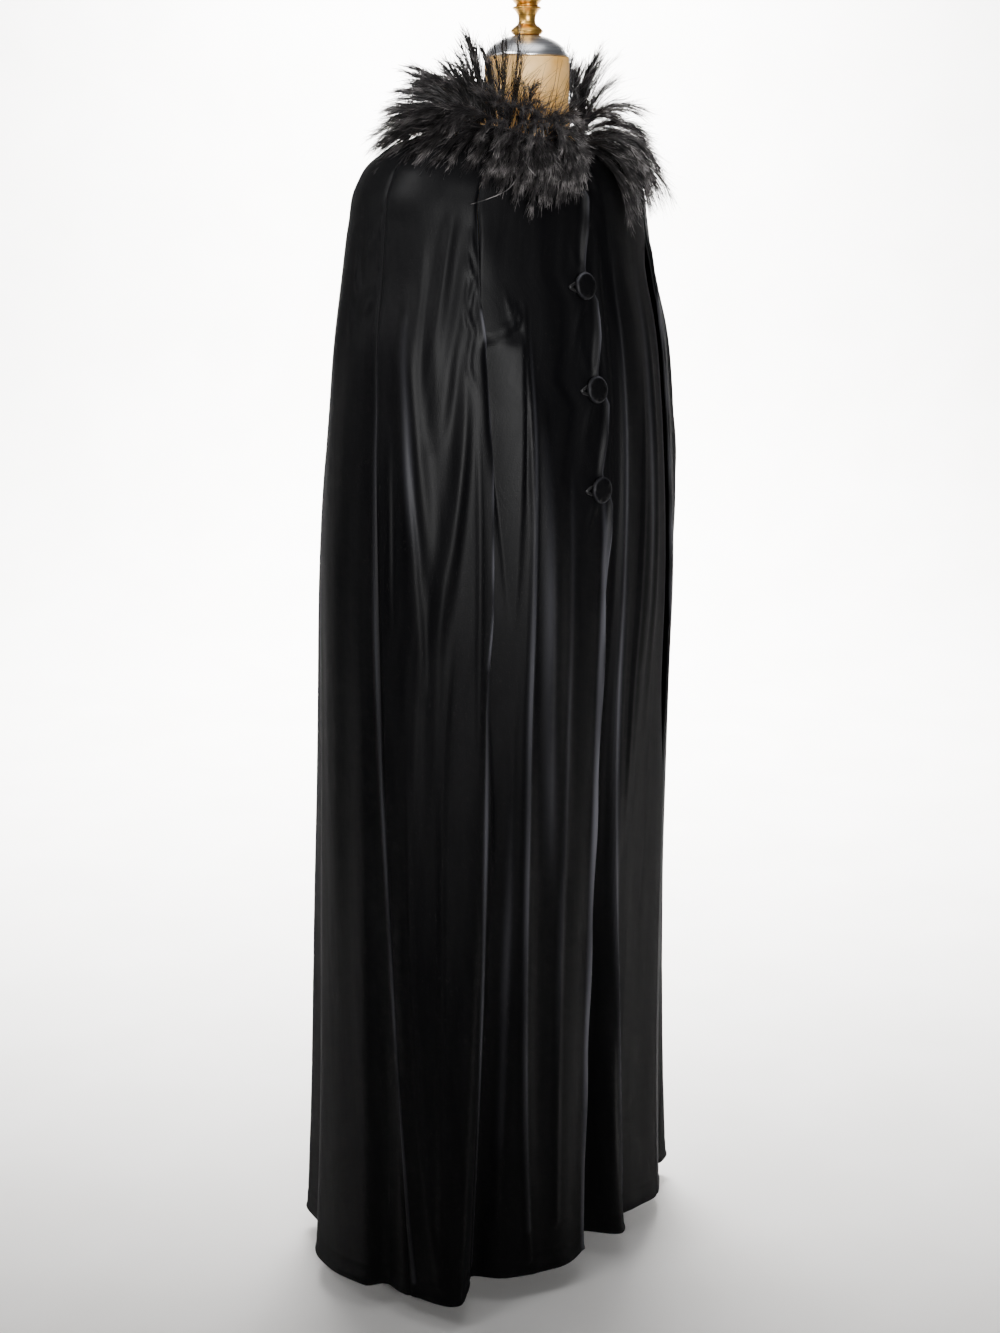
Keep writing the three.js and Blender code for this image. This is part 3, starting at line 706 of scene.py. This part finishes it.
def cloth_wall(middle, out, half):
    """A closed wall: the middle surface moved out and in by half its thickness, with rims."""
    rows, columns = half.shape
    moved = out * half[..., None]
    points = np.concatenate([(middle + moved).reshape(-1, 3), (middle - moved).reshape(-1, 3)])
    inner = rows * columns
    outer_faces = grid_quads(rows, columns)
    inner_faces = outer_faces[:, ::-1] + inner
    top = np.arange(columns - 1)
    bottom = top + (rows - 1) * columns
    left = np.arange(rows - 1) * columns
    right = left + columns - 1
    rims = np.concatenate([
        np.stack([top, inner + top, inner + top + 1, top + 1], 1),
        np.stack([bottom, bottom + 1, inner + bottom + 1, inner + bottom], 1),
        np.stack([left, left + columns, inner + left + columns, inner + left], 1),
        np.stack([right, inner + right, inner + right + columns, right + columns], 1),
    ])
    return points, np.concatenate([outer_faces, inner_faces, rims])


def rounded_edge(distance, radius):
    """A turned edge by the distance from it: the share of the thickness under a quarter circle
    of the radius, and the roll's extra half thickness, which dies away past the radius as a
    bell curve 4 mm wide."""
    near = np.clip(distance / radius, 0.02, 1)
    arc = np.sqrt(1 - (1 - near) ** 2)
    bead = (radius - WALL / 2) * bell(np.maximum(distance - radius, 0), 4)
    return arc, bead


def cape_heights():
    """Rows from the neck seam to the hem: close together at both ends."""
    top = NECK_SEAM - 3.2 * np.arange(16)
    middle = np.linspace(top[-1] - 5, HEM + 40, 206)
    hem = HEM + np.array([36, 33, 30.5, 28, 25.5, 22, 17, 12, 8, 5.5, 3.8, 2.5, 1.4, 0.6, 0.15, 0])
    return np.concatenate([top, middle, hem])


def cape_panel(name, from_edge, to_edge, columns, extra, free_from, free_to, material):
    """One cloth panel between two edges. Its columns are close together near the edges. A free
    edge is rolled, with the radius that its function gives by height; a sewn one dips into
    its seam as a bell curve 2.2 mm wide. The hem is turned and rolled everywhere. The map
    starts at another place on each panel, so that no streak runs on over a seam."""
    heights = cape_heights()
    ends = np.array([0, 0.0012, 0.0035, 0.007, 0.012, 0.019])
    share = np.concatenate([ends, np.linspace(0.028, 0.972, columns), 1 - ends[::-1]])
    start, end = from_edge(heights)[:, None], to_edge(heights)[:, None]
    angle = start + (end - start) * share
    height = np.broadcast_to(heights[:, None], angle.shape)
    middle = cape_point(angle, height, extra(angle, height))
    steps = np.linalg.norm(np.diff(middle, axis=1), axis=-1)
    along = np.concatenate([np.zeros((len(heights), 1)), np.cumsum(steps, axis=1)], axis=1)
    out = cloth_out(angle, height)
    half = np.full(angle.shape, WALL / 2)
    dip = np.zeros(angle.shape)
    arcs = np.ones(angle.shape)
    edges = np.zeros(angle.shape)
    for distance, free in ((along, free_from), (along[:, -1:] - along, free_to)):
        radius = free(height)
        arc, bead = rounded_edge(distance, np.maximum(radius, WALL / 2))
        loose = radius > WALL / 2
        arcs = np.where(loose, arcs * arc, arcs)
        # Painted highlight: a line 1.8 mm in from each rolled edge
        edges = edges + np.where(loose, bell(distance - 1.8, 1.5), 0)
        half = half + np.where(loose, bead, 0)
        dip = dip - np.where(loose, 0, 1.5 * bell(distance, 2.2))
    hem_arc, hem_bead = rounded_edge(height - HEM, HEM_RADIUS)
    half = (half + hem_bead) * np.minimum(arcs, hem_arc)
    points, faces = cloth_wall(middle + out * dip[..., None], out, half)
    piece = add_piece(name, points, faces, material)
    map_start = 700 * (sum(map(ord, name)) % 7)
    place = np.stack([along + map_start, height], -1).reshape(-1, 2)
    add_cloth_map(piece, np.concatenate([place, place]))
    # The painted highlight's share, the same on the outer and inner faces
    add_share(piece, "painted_ridge_highlight", np.tile(painted_ridge_highlight(angle, height, edges).ravel(), 2))
    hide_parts(name.replace("fine_", ""))
    return piece


def sewn(height):
    """No roll: the edge is sewn."""
    return np.zeros_like(height)


def front_roll(height):
    """The front's edge is a soft roll, fatter between the buttons."""
    return 2.9 + 0.7 * np.sin(height / 19) * ease(1000, 1060, height)


def slit_roll(height):
    """The slit's edge is rolled where the slit is open."""
    return 2.2 * slit_covered(height)


def cape_panels(velvet):
    """The five panels. Each one's flat size is its own, measured along its finished surface."""
    none = lambda angle, height: np.zeros_like(angle)
    right_front = cape_panel("fine_cape_right_front", front_edge, slit_edge, 84, right_front_extra,
                             front_roll, sewn, velvet)
    right_side = cape_panel("fine_cape_right_side", over_slit, side_edge, 62, side_extra,
                            slit_roll, sewn, velvet)
    back = cape_panel("fine_cape_back", back_edge, lambda height: 360 - back_edge(height), 158, none,
                      sewn, sewn, velvet)
    left_side = cape_panel("fine_cape_left_side", lambda height: -side_edge(height),
                           lambda height: -over_slit(height), 62, side_extra, sewn, slit_roll, velvet)
    left_front = cape_panel("fine_cape_left_front", lambda height: -slit_edge(height),
                            lambda height: np.full_like(height, UNDERLAP), 92, left_front_extra,
                            sewn, lambda height: np.full_like(height, 2.0), velvet)


def on_cloth(angle, height, extra, above):
    """Places above a panel's outer face, without its narrow creases, and the ways out there."""
    angle, height, above = np.broadcast_arrays(angle, height, above)
    out = cloth_out(angle, height, False, 1.0, 6.0)
    middle = cape_point(angle, height, extra(angle, height), False)
    return middle + out * (WALL / 2 + above)[..., None], out


def lathe(profile, segments):
    """A closed turned body round +Z: rings of the profile's radius and level, with its first
    and last points on the axis."""
    radius, level = np.array(profile, float).T
    turn = 2 * np.pi * np.arange(segments) / segments
    rings = np.stack([radius[1:-1, None] * np.cos(turn), radius[1:-1, None] * np.sin(turn),
                      np.broadcast_to(level[1:-1, None], (len(radius) - 2, segments))], -1)
    return closed_rings(rings, (0, 0, level[0]), (0, 0, level[-1]))


def distance_along(places):
    """How far along its line each place lies: the sum of the steps before it."""
    return np.concatenate([[0], np.cumsum(np.linalg.norm(np.diff(places, axis=0), axis=1))])


def curved_profile(profile, steps):
    """A profile with cubic curves through its points, in place of straight lines."""
    points = np.array(profile, float)
    reach = distance_along(points)
    at = np.unique(np.concatenate([reach, np.linspace(0, reach[-1], steps)]))
    rows = np.column_stack([-reach, points])
    curve = through_rows(rows, -at).T
    curve[:, 0] = np.maximum(curve[:, 0], 0)
    curve[0], curve[-1] = points[0], points[-1]
    return curve


# Edges that bend by more than this stay sharp
SHARP_ANGLE = math.radians(50)


def turned_piece(name, profile, segments, place, material):
    """A turned piece at a place, standing for its solid."""
    points, faces = lathe(profile, segments)
    piece = add_piece("fine_" + name, points + np.array(place), faces, material)
    piece.data.set_sharp_from_angle(angle=SHARP_ANGLE)
    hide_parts(name)


def facing(out):
    """Three unit directions with the last one along out."""
    side = np.cross([0, 0, 1.0], out)
    side /= np.linalg.norm(side)
    return np.stack([side, np.cross(out, side), out])


def covered_buttons(velvet):
    """Flat round buttons covered in velvet: a turned disc with a domed face on a shank, with
    six soft gathers round its rim as sines of the turn. A painted highlight lies in arcs on one
    side of the rim, along a bell curve 0.9 mm wide."""
    profile = curved_profile([
        (0, CONTACT_GAP), (2.9, CONTACT_GAP), (3, 3), (3.2, 5.2), (8, 5.5), (13.6, 5.6), (15.4, 6.6),
        (16, 8), (15.5, 9.7), (13.8, 11), (10.5, 11.7), (6, 12), (0, 12)], 44)
    for index, height in enumerate(BUTTON_HEIGHTS):
        points, faces = lathe(profile, 56)
        turn = np.arctan2(points[:, 1], points[:, 0])
        radius = np.hypot(points[:, 0], points[:, 1])
        rim = ease(6, 15, radius) * ease(15.9, 12, radius + 0.01)
        points[:, 2] += 0.35 * rim * np.sin(6 * turn + index) + 0.2 * rim * np.sin(11 * turn)
        angle = BUTTON_INSET / degree_length(height)
        place, out = on_cloth([angle], height, front_extra, 0)
        placed = place + points @ facing(out[0])
        piece = add_piece(f"fine_button_{index + 1}", placed, faces, velvet)
        add_cloth_map(piece, points[:, :2])
        # Painted highlight: pale arcs on one side of the rim's face, in the velvet's painted highlight
        # share
        side = np.maximum(0.7 * np.sin(turn - 0.8 + 0.9 * index), 0.12)
        add_share(piece, "painted_ridge_highlight", bell(radius - 14.8, 0.9) * (points[:, 2] > 6) * side)
        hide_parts(f"button_{index + 1}")


def curve_through(places, steps):
    """Points on a cubic curve that passes through each place, steps between neighbours."""
    reach = distance_along(places)
    rows = np.column_stack([-reach, places])
    return through_rows(rows, -np.linspace(0, reach[-1], (len(places) - 1) * steps + 1)).T


def tube(path, radius, sides):
    """A round tube along a path: circles across it, carried without twist by projecting one
    fixed direction, and closed by a point 0.5 mm past each end."""
    ahead = np.gradient(path, axis=0)
    ahead /= np.linalg.norm(ahead, axis=1, keepdims=True)
    across = np.cross(ahead, [0.31, -0.62, 0.72])
    across /= np.linalg.norm(across, axis=1, keepdims=True)
    other = np.cross(ahead, across)
    turn = (2 * np.pi * np.arange(sides) / sides)[:, None]
    circle = np.cos(turn) * across[:, None] + np.sin(turn) * other[:, None]
    rings = path[:, None] + np.broadcast_to(radius, len(path))[:, None, None] * circle
    return closed_rings(rings, path[0] - ahead[0] * 0.5, path[-1] + ahead[-1] * 0.5)


# A loop's upper leg: how far in from the front's edge, how far up, how far above the cloth,
# and whether that is the left front's cloth. The lower leg mirrors it, past a bight between.
LOOP_LEG = (
    (-12, 3.2, 2.25, True), (-5.5, 3.8, 2.25, True), (-2.9, 4.2, -0.6, False), (-1.6, 4.6, 2, False),
    (2, 5, 2.85, False), (10, 5.8, 2.45, False), (21, 5.4, 2.25, False), (29, 3.2, 2.25, False),
)
LOOP_BIGHT = (34, 0, 2.25, False)


def rouleau_loops(velvet):
    """Velvet rouleaux, turned through: tubes 3.4 mm thick from the left front, round the right
    front's edge and each button's shank, to a bight on its far side."""
    lower_leg = [(inset, -up, above, under) for inset, up, above, under in LOOP_LEG[::-1]]
    for index, height in enumerate(BUTTON_HEIGHTS):
        places = []
        for inset, up, above, under in [*LOOP_LEG, LOOP_BIGHT, *lower_leg]:
            extra = left_front_extra if under else front_extra
            place, _ = on_cloth([inset / degree_length(height)], height + up, extra, above)
            places.append(place[0])
        points, faces = tube(curve_through(np.array(places), 7), LOOP_RADIUS, 12)
        piece = add_piece(f"fine_loop_{index + 1}", points, faces, velvet)
        add_cloth_map(piece, (points - points.mean(0))[:, :2])
        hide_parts(f"loop_{index + 1}")


# The feathers' backing tape, and the share of its width where each row of locks is rooted
TAPE_FROM = 3
TAPE_TO = 347
TAPE_THICKNESS = 2.6
TAPE_LIFT = 0.7
TAPE_MIDDLE = TAPE_LIFT + TAPE_THICKNESS / 2
TAPE_TOP = 1479.3
TAPE_BOTTOM = 1477.7
LOCKS_IN_A_ROW = 32
LOCK_PLACES = (0.15, 0.5, 0.85, 0.3)

# The angle at which the fronds are shortest, over the top button, and the two between which the
# tall row is thin, beside the neck
TOP_BUTTON_ANGLE = 3
BESIDE_NECK = (52, 80)

# How the locks stand round the neck: by angle, for each row the slope at the root and at the
# tip in degrees above the horizontal, and the length. The solid has the first three rows; the
# fourth is the short down that stands close to the neck.
LOCK_LEANS = np.array([
    (0, 24, -62, 100, 8, -76, 108, -8, -84, 100, 80, -34, 78),
    (40, 36, -50, 104, 14, -74, 116, -2, -82, 110, 82, -24, 72),
    (66, 84, 70, 112, 34, -48, 108, 4, -60, 112, 76, 10, 56),
    (95, 84, 56, 98, 34, -12, 106, 10, -37, 118, 84, 44, 74),
    (135, 56, 2, 98, 30, -18, 108, 10, -36, 118, 60, 0, 80),
    (180, 56, 6, 100, 34, -16, 106, 11, -38, 112, 60, 0, 80),
    (225, 62, 22, 100, 34, -18, 106, 12, -38, 116, 72, 40, 88),
    (262, 86, 58, 92, 36, -34, 98, 10, -48, 120, 90, 72, 90),
    (298, 86, 46, 88, 24, -68, 106, -4, -70, 146, 88, 58, 84),
    (312, 68, -44, 86, 14, -70, 110, -6, -76, 138, 86, 40, 70),
    (326, 42, -54, 96, 12, -72, 114, -8, -80, 128, 84, -10, 74),
    (360, 24, -62, 100, 8, -76, 108, -8, -84, 100, 80, -34, 78),
])


def scatter(number, row):
    """Even but unequal values from 0 to 1: the fraction of a large sine."""
    value = np.sin(number * 12.9898 + row * 78.233) * 43758.5453
    return value - np.floor(value)


def tape_extra(angle, height):
    """The tape lies on the right front and follows the left one's sinking edge."""
    return np.where(angle > 180, left_front_extra(angle - 360, height), 0)


def feather_shafts(row, per_lock, steps):
    """The middle lines of one row's fronds, as an array frond x step x 3, with their lengths
    and angles. Each starts on the tape, leaves it at its rise above the tape's own slope, bends
    evenly to its tip's slope and turns a little to one side. The fronds are shorter over the
    top button, by a bell curve 13 degrees wide."""
    number = np.repeat(np.arange(LOCKS_IN_A_ROW), per_lock)
    which = np.tile(np.arange(per_lock), LOCKS_IN_A_ROW)
    share = (number + 0.5 + (scatter(number, row) - 0.5) * 0.4) / LOCKS_IN_A_ROW
    own = scatter(number * 7 + which, row + 20) - 0.5
    angle = TAPE_FROM + (TAPE_TO - TAPE_FROM) * share + own * 5
    height = TAPE_TOP + (TAPE_BOTTOM - TAPE_TOP) * LOCK_PLACES[row]
    leans = LOCK_LEANS[:, 1 + 3 * row:4 + 3 * row]
    rise, tip, row_length = (np.interp(angle, LOCK_LEANS[:, 0], column) for column in leans.T)
    spread = (scatter(number, row + 7) - 0.5) * 8 + (scatter(number * 5 + which, row + 31) - 0.5) * 14
    length = row_length * (0.84 + 0.26 * scatter(number, row + 3))
    length = length * (1 - 0.22 * scatter(number * 3 + which, row + 41))
    length = length * (1 - 0.68 * bell(angle - TOP_BUTTON_ANGLE, 13))
    heading = np.radians(angle + (scatter(number, row + 5) - 0.5) * 7 + own * 12)
    start, out = on_cloth(angle, height, tape_extra, TAPE_MIDDLE)
    away = np.stack([-np.sin(heading), -np.cos(heading), np.zeros_like(heading)], -1)
    across = np.cross(away, out)
    across /= np.linalg.norm(across, axis=-1, keepdims=True)
    up = np.cross(across, away)
    along = (np.arange(steps) + 0.5) / steps
    curl = np.radians((scatter(number * 11 + which, row + 51) - 0.5) * 50)
    slope = np.radians(rise[:, None] + (tip - rise)[:, None] * along + spread[:, None])[..., None]
    turn = (curl[:, None] * along ** 2)[..., None]
    flat = away[:, None] * np.cos(turn) + across[:, None] * np.sin(turn)
    step = flat * np.cos(slope) + up[:, None] * np.sin(slope)
    line = np.cumsum(step * (length / steps)[:, None, None], axis=1)
    return start[:, None] + np.concatenate([np.zeros((len(start), 1, 3)), line], axis=1), length, angle


def ribbons(start, direction, bend, length, width, steps):
    """Thin tapering strips, as arrays of points and quads, with how far each point is along.
    A strip's middle line is start + length * (direction * t + bend * t^2), and its width falls
    from the root to the tip."""
    count = len(start)
    t = np.linspace(0, 1, steps + 1)
    curve = direction[:, None] * t[:, None] + bend[:, None] * t[:, None] ** 2
    line = start[:, None] + length[:, None, None] * curve
    tangent = direction[:, None] + 2 * bend[:, None] * t[:, None]
    aside = np.cross(tangent, direction[:, [1, 2, 0]][:, None] + [0.3, -0.4, 0.5])
    aside /= np.linalg.norm(aside, axis=-1, keepdims=True) + 1e-9
    half = (width[:, None] * (1 - 0.75 * t) / 2)[..., None]
    points = np.stack([line - aside * half, line + aside * half], 2).reshape(-1, 3)
    base = (np.arange(count) * (steps + 1) * 2)[:, None] + np.arange(steps) * 2
    faces = np.stack([base, base + 1, base + 3, base + 2], -1).reshape(-1, 4)
    return points, faces, np.broadcast_to(t[None, :, None], (count, steps + 1, 2)).ravel()


def feather_row(row, per_lock, barbs, feather, random):
    """One row of fronds: each shaft carries barbs on both sides, which leave it forwards at a
    narrow angle, are longest near its middle, and droop and curl towards their tips. Beside
    the neck, where it shows through them, most of the tall row's barbs are short."""
    steps = 12
    shafts, lengths, angles = feather_shafts(row, per_lock, steps)
    count = len(shafts)
    at = 0.06 + 0.94 * np.linspace(0, 1, barbs) ** 0.9
    place = at * steps
    low = np.minimum(place.astype(int), steps - 1)
    part = (place - low)[None, :, None]
    root = shafts[:, low] * (1 - part) + shafts[:, low + 1] * part
    ahead = shafts[:, low + 1] - shafts[:, low]
    ahead /= np.linalg.norm(ahead, axis=-1, keepdims=True)
    up = np.cross(ahead, np.cross([0, 0, 1.0], ahead))
    up /= np.linalg.norm(up, axis=-1, keepdims=True) + 1e-9
    side = np.cross(ahead, up)
    turn = random.uniform(0, 2 * np.pi, (count, barbs, 1))
    aside = side * np.cos(turn) + up * np.sin(turn) * 0.7
    lean = np.radians(random.uniform(7, 29, (count, barbs, 1)))
    direction = ahead * np.cos(lean) + aside * np.sin(lean)
    bend = -aside * random.uniform(0.1, 0.42, (count, barbs, 1)) + random.normal(0, 0.1, (count, barbs, 3))
    bend[..., 2] -= 0.12
    size = 20 + 24 * np.sin(np.pi * np.clip(at, 0, 1) ** 0.8)[None] * (lengths / 100)[:, None]
    size = size * random.uniform(0.7, 1.15, (count, barbs))
    thin = (row == 0) & (angles > BESIDE_NECK[0]) & (angles < BESIDE_NECK[1])
    size = np.where(thin[:, None] & (random.random((count, barbs)) < 0.6), size * 0.15, size)
    flat = lambda array: array.reshape(-1, 3)
    points, faces, tip = ribbons(flat(root), flat(direction), flat(bend), size.ravel(),
                                 random.uniform(0.7, 1.3, count * barbs), 4)
    piece = add_piece(f"feather_fronds_{row + 1}", points, faces, feather)
    per_barb = len(points) // (count * barbs)
    # The painted highlight's share: it grows towards each barb's tip and along the shaft
    shade = 0.15 + 0.85 * tip + np.repeat(np.tile(at, count), per_barb) * 0.3
    add_share(piece, "towards_tip", np.clip(shade, 0, 1))


def feather_tape(feather):
    """The backing tape: a narrow band on the cloth just below the neck seam."""
    angle = np.linspace(TAPE_FROM, TAPE_TO, 241)[None]
    heights = np.array([TAPE_TOP, (TAPE_TOP + TAPE_BOTTOM) / 2, TAPE_BOTTOM])[:, None]
    middle, out = on_cloth(angle, heights, tape_extra, TAPE_MIDDLE)
    points, faces = cloth_wall(middle, out, np.full(out.shape[:2], TAPE_THICKNESS / 2))
    piece = add_piece("feather_tape", points, faces, feather)
    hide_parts("feather_trim")


# Long loose barbs that curl in front of the collar: places as angle, height on the side's
# scale and distance above the cloth
LOOSE_BARBS = (
    ((33, 1446, 16), (36, 1428, 20), (42, 1412, 16), (47.5, 1404, 8)),
    ((37, 1464, 18), (31, 1450, 26), (25, 1443, 24), (16, 1452, 26), (9, 1476, 22)),
)


def barbs_across_neck(feather, random):
    """Thin barbs from beside the neck that cross in front of it, each its own way: parabolas
    that start upwards and bend towards the wearer's left or right."""
    count = 120
    angle = random.uniform(15, 92, count)
    start, out = on_cloth(angle, TAPE_TOP, tape_extra, 3)
    across = np.array([0.707, -0.707, 0.0])
    rise = np.column_stack([np.zeros((count, 2)), random.uniform(0.75, 1.25, count)])
    direction = rise + across * random.uniform(-0.25, 0.7, (count, 1)) + out * [0.25, 0.25, 0]
    bend = across * random.uniform(-0.3, 0.55, (count, 1)) + random.normal(0, 0.12, (count, 3))
    bend[:, 2] -= random.uniform(0.1, 0.5, count)
    length = random.uniform(50, 92, count)
    points, faces, _ = ribbons(start, direction, bend, length, random.uniform(1.1, 1.8, count), 12)
    piece = add_piece("barbs_across_neck", points, faces, feather)
    # Painted highlight: these thin barbs take nearly the full grey
    add_share(piece, "towards_tip", np.full(len(points), 0.9))


def loose_barbs(feather):
    """Thin tubes along curves through their places, 1 mm thick and finer at the end."""
    for index, places in enumerate(LOOSE_BARBS):
        angle, height, above = np.array(places, float).T
        path = curve_through(on_cloth(angle, height, front_extra, above)[0], 14)
        points, faces = tube(path, np.linspace(0.6, 0.25, len(path)), 5)
        piece = add_piece(f"loose_barb_{index + 1}", points, faces, feather)
        # Painted highlight: the loose barbs take the full grey
        add_share(piece, "towards_tip", np.ones(len(points)))


def feather_collar():
    """The tape with its rows of fronds, the down and the loose barbs."""
    feather = dyed_feather()
    random = np.random.default_rng(11)
    feather_tape(feather)
    for row in range(3):
        feather_row(row, 4, 72, feather, random)
    feather_row(3, 5, 54, feather, random)
    barbs_across_neck(feather, random)
    loose_barbs(feather)


# Dress form sections: the height, half width, the widest line's place, and the reach to the
# front and to the back
FORM_SECTIONS = np.array([
    (NECK_TOP, NECK_RADIUS, -28, -78, 22), (1530, 50, -28, -78, 22), (1500, 50, -28, -78, 24),
    (1474, 60, -28, -79, 40), (1458, 92, -22, -81, 62), (1440, 129, -15, -94, 83),
    (1416, 162, -8, -105, 100), (1388, 184, -3, -112, 112), (1350, 192, 0, -116, 118),
    (1290, 188, 0, -120, 116), (1230, 176, 0, -128, 106), (1160, 154, 0, -116, 96),
    (1070, 128, 0, -94, 84), (990, 142, 2, -94, 98), (910, 164, 4, -97, 120),
    (850, 172, 5, -97, 128), (TORSO_BOTTOM, 170, 5, -94, 124),
])


def dress_form():
    """The torso: ovals through the sections, closed by a flat lid at the top and bottom."""
    around = 96
    level = np.linspace(NECK_TOP, TORSO_BOTTOM, 110)[:, None]
    turn = 2 * np.pi * np.arange(around)[None] / around
    level, turn = np.broadcast_arrays(level, turn)
    half_width, middle, front, back = through_rows(FORM_SECTIONS, level)
    reach = np.where(np.cos(turn) > 0, middle - front, back - middle)
    rings = np.stack([-half_width * np.sin(turn), WIDEST_Y + middle - reach * np.cos(turn), level], -1)
    points, faces = closed_rings(rings, (0, NECK_Y, NECK_TOP), (0, WIDEST_Y, TORSO_BOTTOM))
    piece = add_piece("fine_form_torso", points, faces, form_cloth())
    piece.data.set_sharp_from_angle(angle=SHARP_ANGLE)
    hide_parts("form_torso")


def stand_and_top():
    """The metal cap, the finial, the pole and the foot, each turned about its own axis."""
    cap = spun_metal("spun_chromed_steel", "#e2e3e6", "#bfc1c6", 0.3, 0.0006)
    brass = spun_metal("turned_lacquered_brass", "#dcae5c", "#b07f34", 0.34, 0.0007)
    cap_level = NECK_TOP + CONTACT_GAP
    turned_piece("neck_cap", curved_profile(
        [(0, 0), (47.5, 0), (49, 1.5), (48.6, 3.4), (46, 8), (37, 16), (20, 23.5),
         (0, CAP_HEIGHT)], 40), 96,
        (0, NECK_Y, cap_level), cap)
    turned_piece("finial", curved_profile([
        (0, 0), (17, 0), (19, 3), (16, 7), (11, 11), (10.5, 20), (14, 26), (17, 29), (13, 32), (16, 36),
        (22, 44), (24, 53), (22, 62), (15, 70), (8, 74), (6, 79), (0, 82)], 120), 72,
        (0, NECK_Y, NECK_TOP + CAP_HEIGHT + 2 * CONTACT_GAP), brass)
    turned_piece("stand_pole", [
        (0, FOOT_HEIGHT + CONTACT_GAP), (POLE_RADIUS, FOOT_HEIGHT + CONTACT_GAP),
        (POLE_RADIUS, TORSO_BOTTOM - CONTACT_GAP), (0, TORSO_BOTTOM - CONTACT_GAP)], 64,
        (0, 0, 0), brass)
    turned_piece("stand_foot", [
        (0, 0), (FOOT_RADIUS - 4, 0), (FOOT_RADIUS - 1.2, 1.2), (FOOT_RADIUS, 4), (FOOT_RADIUS - 0.2, 7),
        (FOOT_RADIUS - 1.5, 9), (FOOT_RADIUS - 4, 11), (FOOT_RADIUS - 9, 12), (80, 14), (40, 18), (32, 20),
        (27, 22.6), (25, FOOT_HEIGHT), (0, FOOT_HEIGHT)], 128, (0, 0, 0), stained_wood())


def studio_floor():
    """A pale floor in metres that curves up into a backdrop on the camera's far side."""
    across = np.linspace(-4, 4, 3)
    run = np.array([(-4, 0), (2.4, 0), (2.9, 0.06), (3.3, 0.25), (3.6, 0.6), (3.75, 1.1), (3.8, 4.5)])
    ahead = np.array([math.sin(math.radians(45)), math.cos(math.radians(45))])
    aside = np.array([ahead[1], -ahead[0]])
    plan = run[:, None, :1] * ahead + across[None, :, None] * aside
    points = np.concatenate([plan, np.broadcast_to(run[:, None, 1:], (len(run), 3, 1))], -1).reshape(-1, 3)
    mesh = bpy.data.meshes.new("floor")
    mesh.from_pydata(points, [], grid_quads(len(run), 3)[:, ::-1].tolist())
    mesh.materials.append(studio_paper())
    mesh.shade_smooth()
    floor = show("floor", mesh)
    bend = floor.modifiers.new("bend", "SUBSURF")
    bend.levels = bend.render_levels = 2


# The studio's square lights: name, place, aim, width, watts and the beam's spread in degrees
LIGHTS = (
    ("key", (-1.35, -2.05, 1.4), (0, 0, 1.1), 0.5, 11, 54),
    ("rim_left", (-1.9, 1.8, 1.9), (0, 0, 1.1), 0.6, 1.2, 60),
    ("rim_right", (1.9, 0.8, 1.9), (0.2, -0.1, 1.3), 0.4, 0.7, 26),
    ("upper_left", (-1.75, 0.1, 2.7), (-0.1, -0.1, 1.4), 0.6, 4.5, 50),
    ("overhead", (-0.2, -0.3, 3.0), (0, -0.1, 1.4), 1.3, 6, 120),
    ("backdrop", (1.0, 1.2, 3.3), (2.2, 2.2, 0.8), 1.6, 780, 120),
)


def soft_light(name, place, aim, size, power, spread):
    """A square light at a place that shines towards its aim: it tips by the angle of that
    direction from straight down, and turns by its heading."""
    light = bpy.data.lights.new(name, "AREA")
    light.size = size
    light.energy = power
    light.spread = math.radians(spread)
    lamp = show(name, light)
    lamp.location = place
    towards = np.array(aim) - np.array(place)
    tip = math.acos(-towards[2] / np.linalg.norm(towards))
    lamp.rotation_euler = (tip, 0, math.atan2(-towards[0], towards[1]))


def studio():
    """The floor, the soft lights, faint even light from all sides, and the photo's camera."""
    studio_floor()
    for row in LIGHTS:
        soft_light(*row)

    world = bpy.data.worlds.new("studio_air")
    world.use_nodes = True
    background = world.node_tree.nodes["Background"]
    background.inputs["Color"].default_value = linear("#eef0f4")
    background.inputs["Strength"].default_value = 0.14
    bpy.context.scene.world = world

    # The photo's camera, worked out from the outline: it looks 14.7 degrees downwards
    camera = bpy.data.cameras.new("camera")
    camera.lens = 52.7
    camera.shift_x = -0.0075
    eye = show("camera", camera)
    eye.location = (-1.711, -1.741, 1.45)
    eye.rotation_euler = (math.radians(90 - 14.7), 0, math.radians(-45))
    bpy.context.scene.camera = eye


studio()
velvet = black_velvet("black_cotton_velvet", 0.075)
cape_panels(velvet)
covered_buttons(velvet)
rouleau_loops(black_velvet("bias_cut_velvet_rouleau_pile_pressed_flat", 0.45))
feather_collar()
dress_form()
stand_and_top()
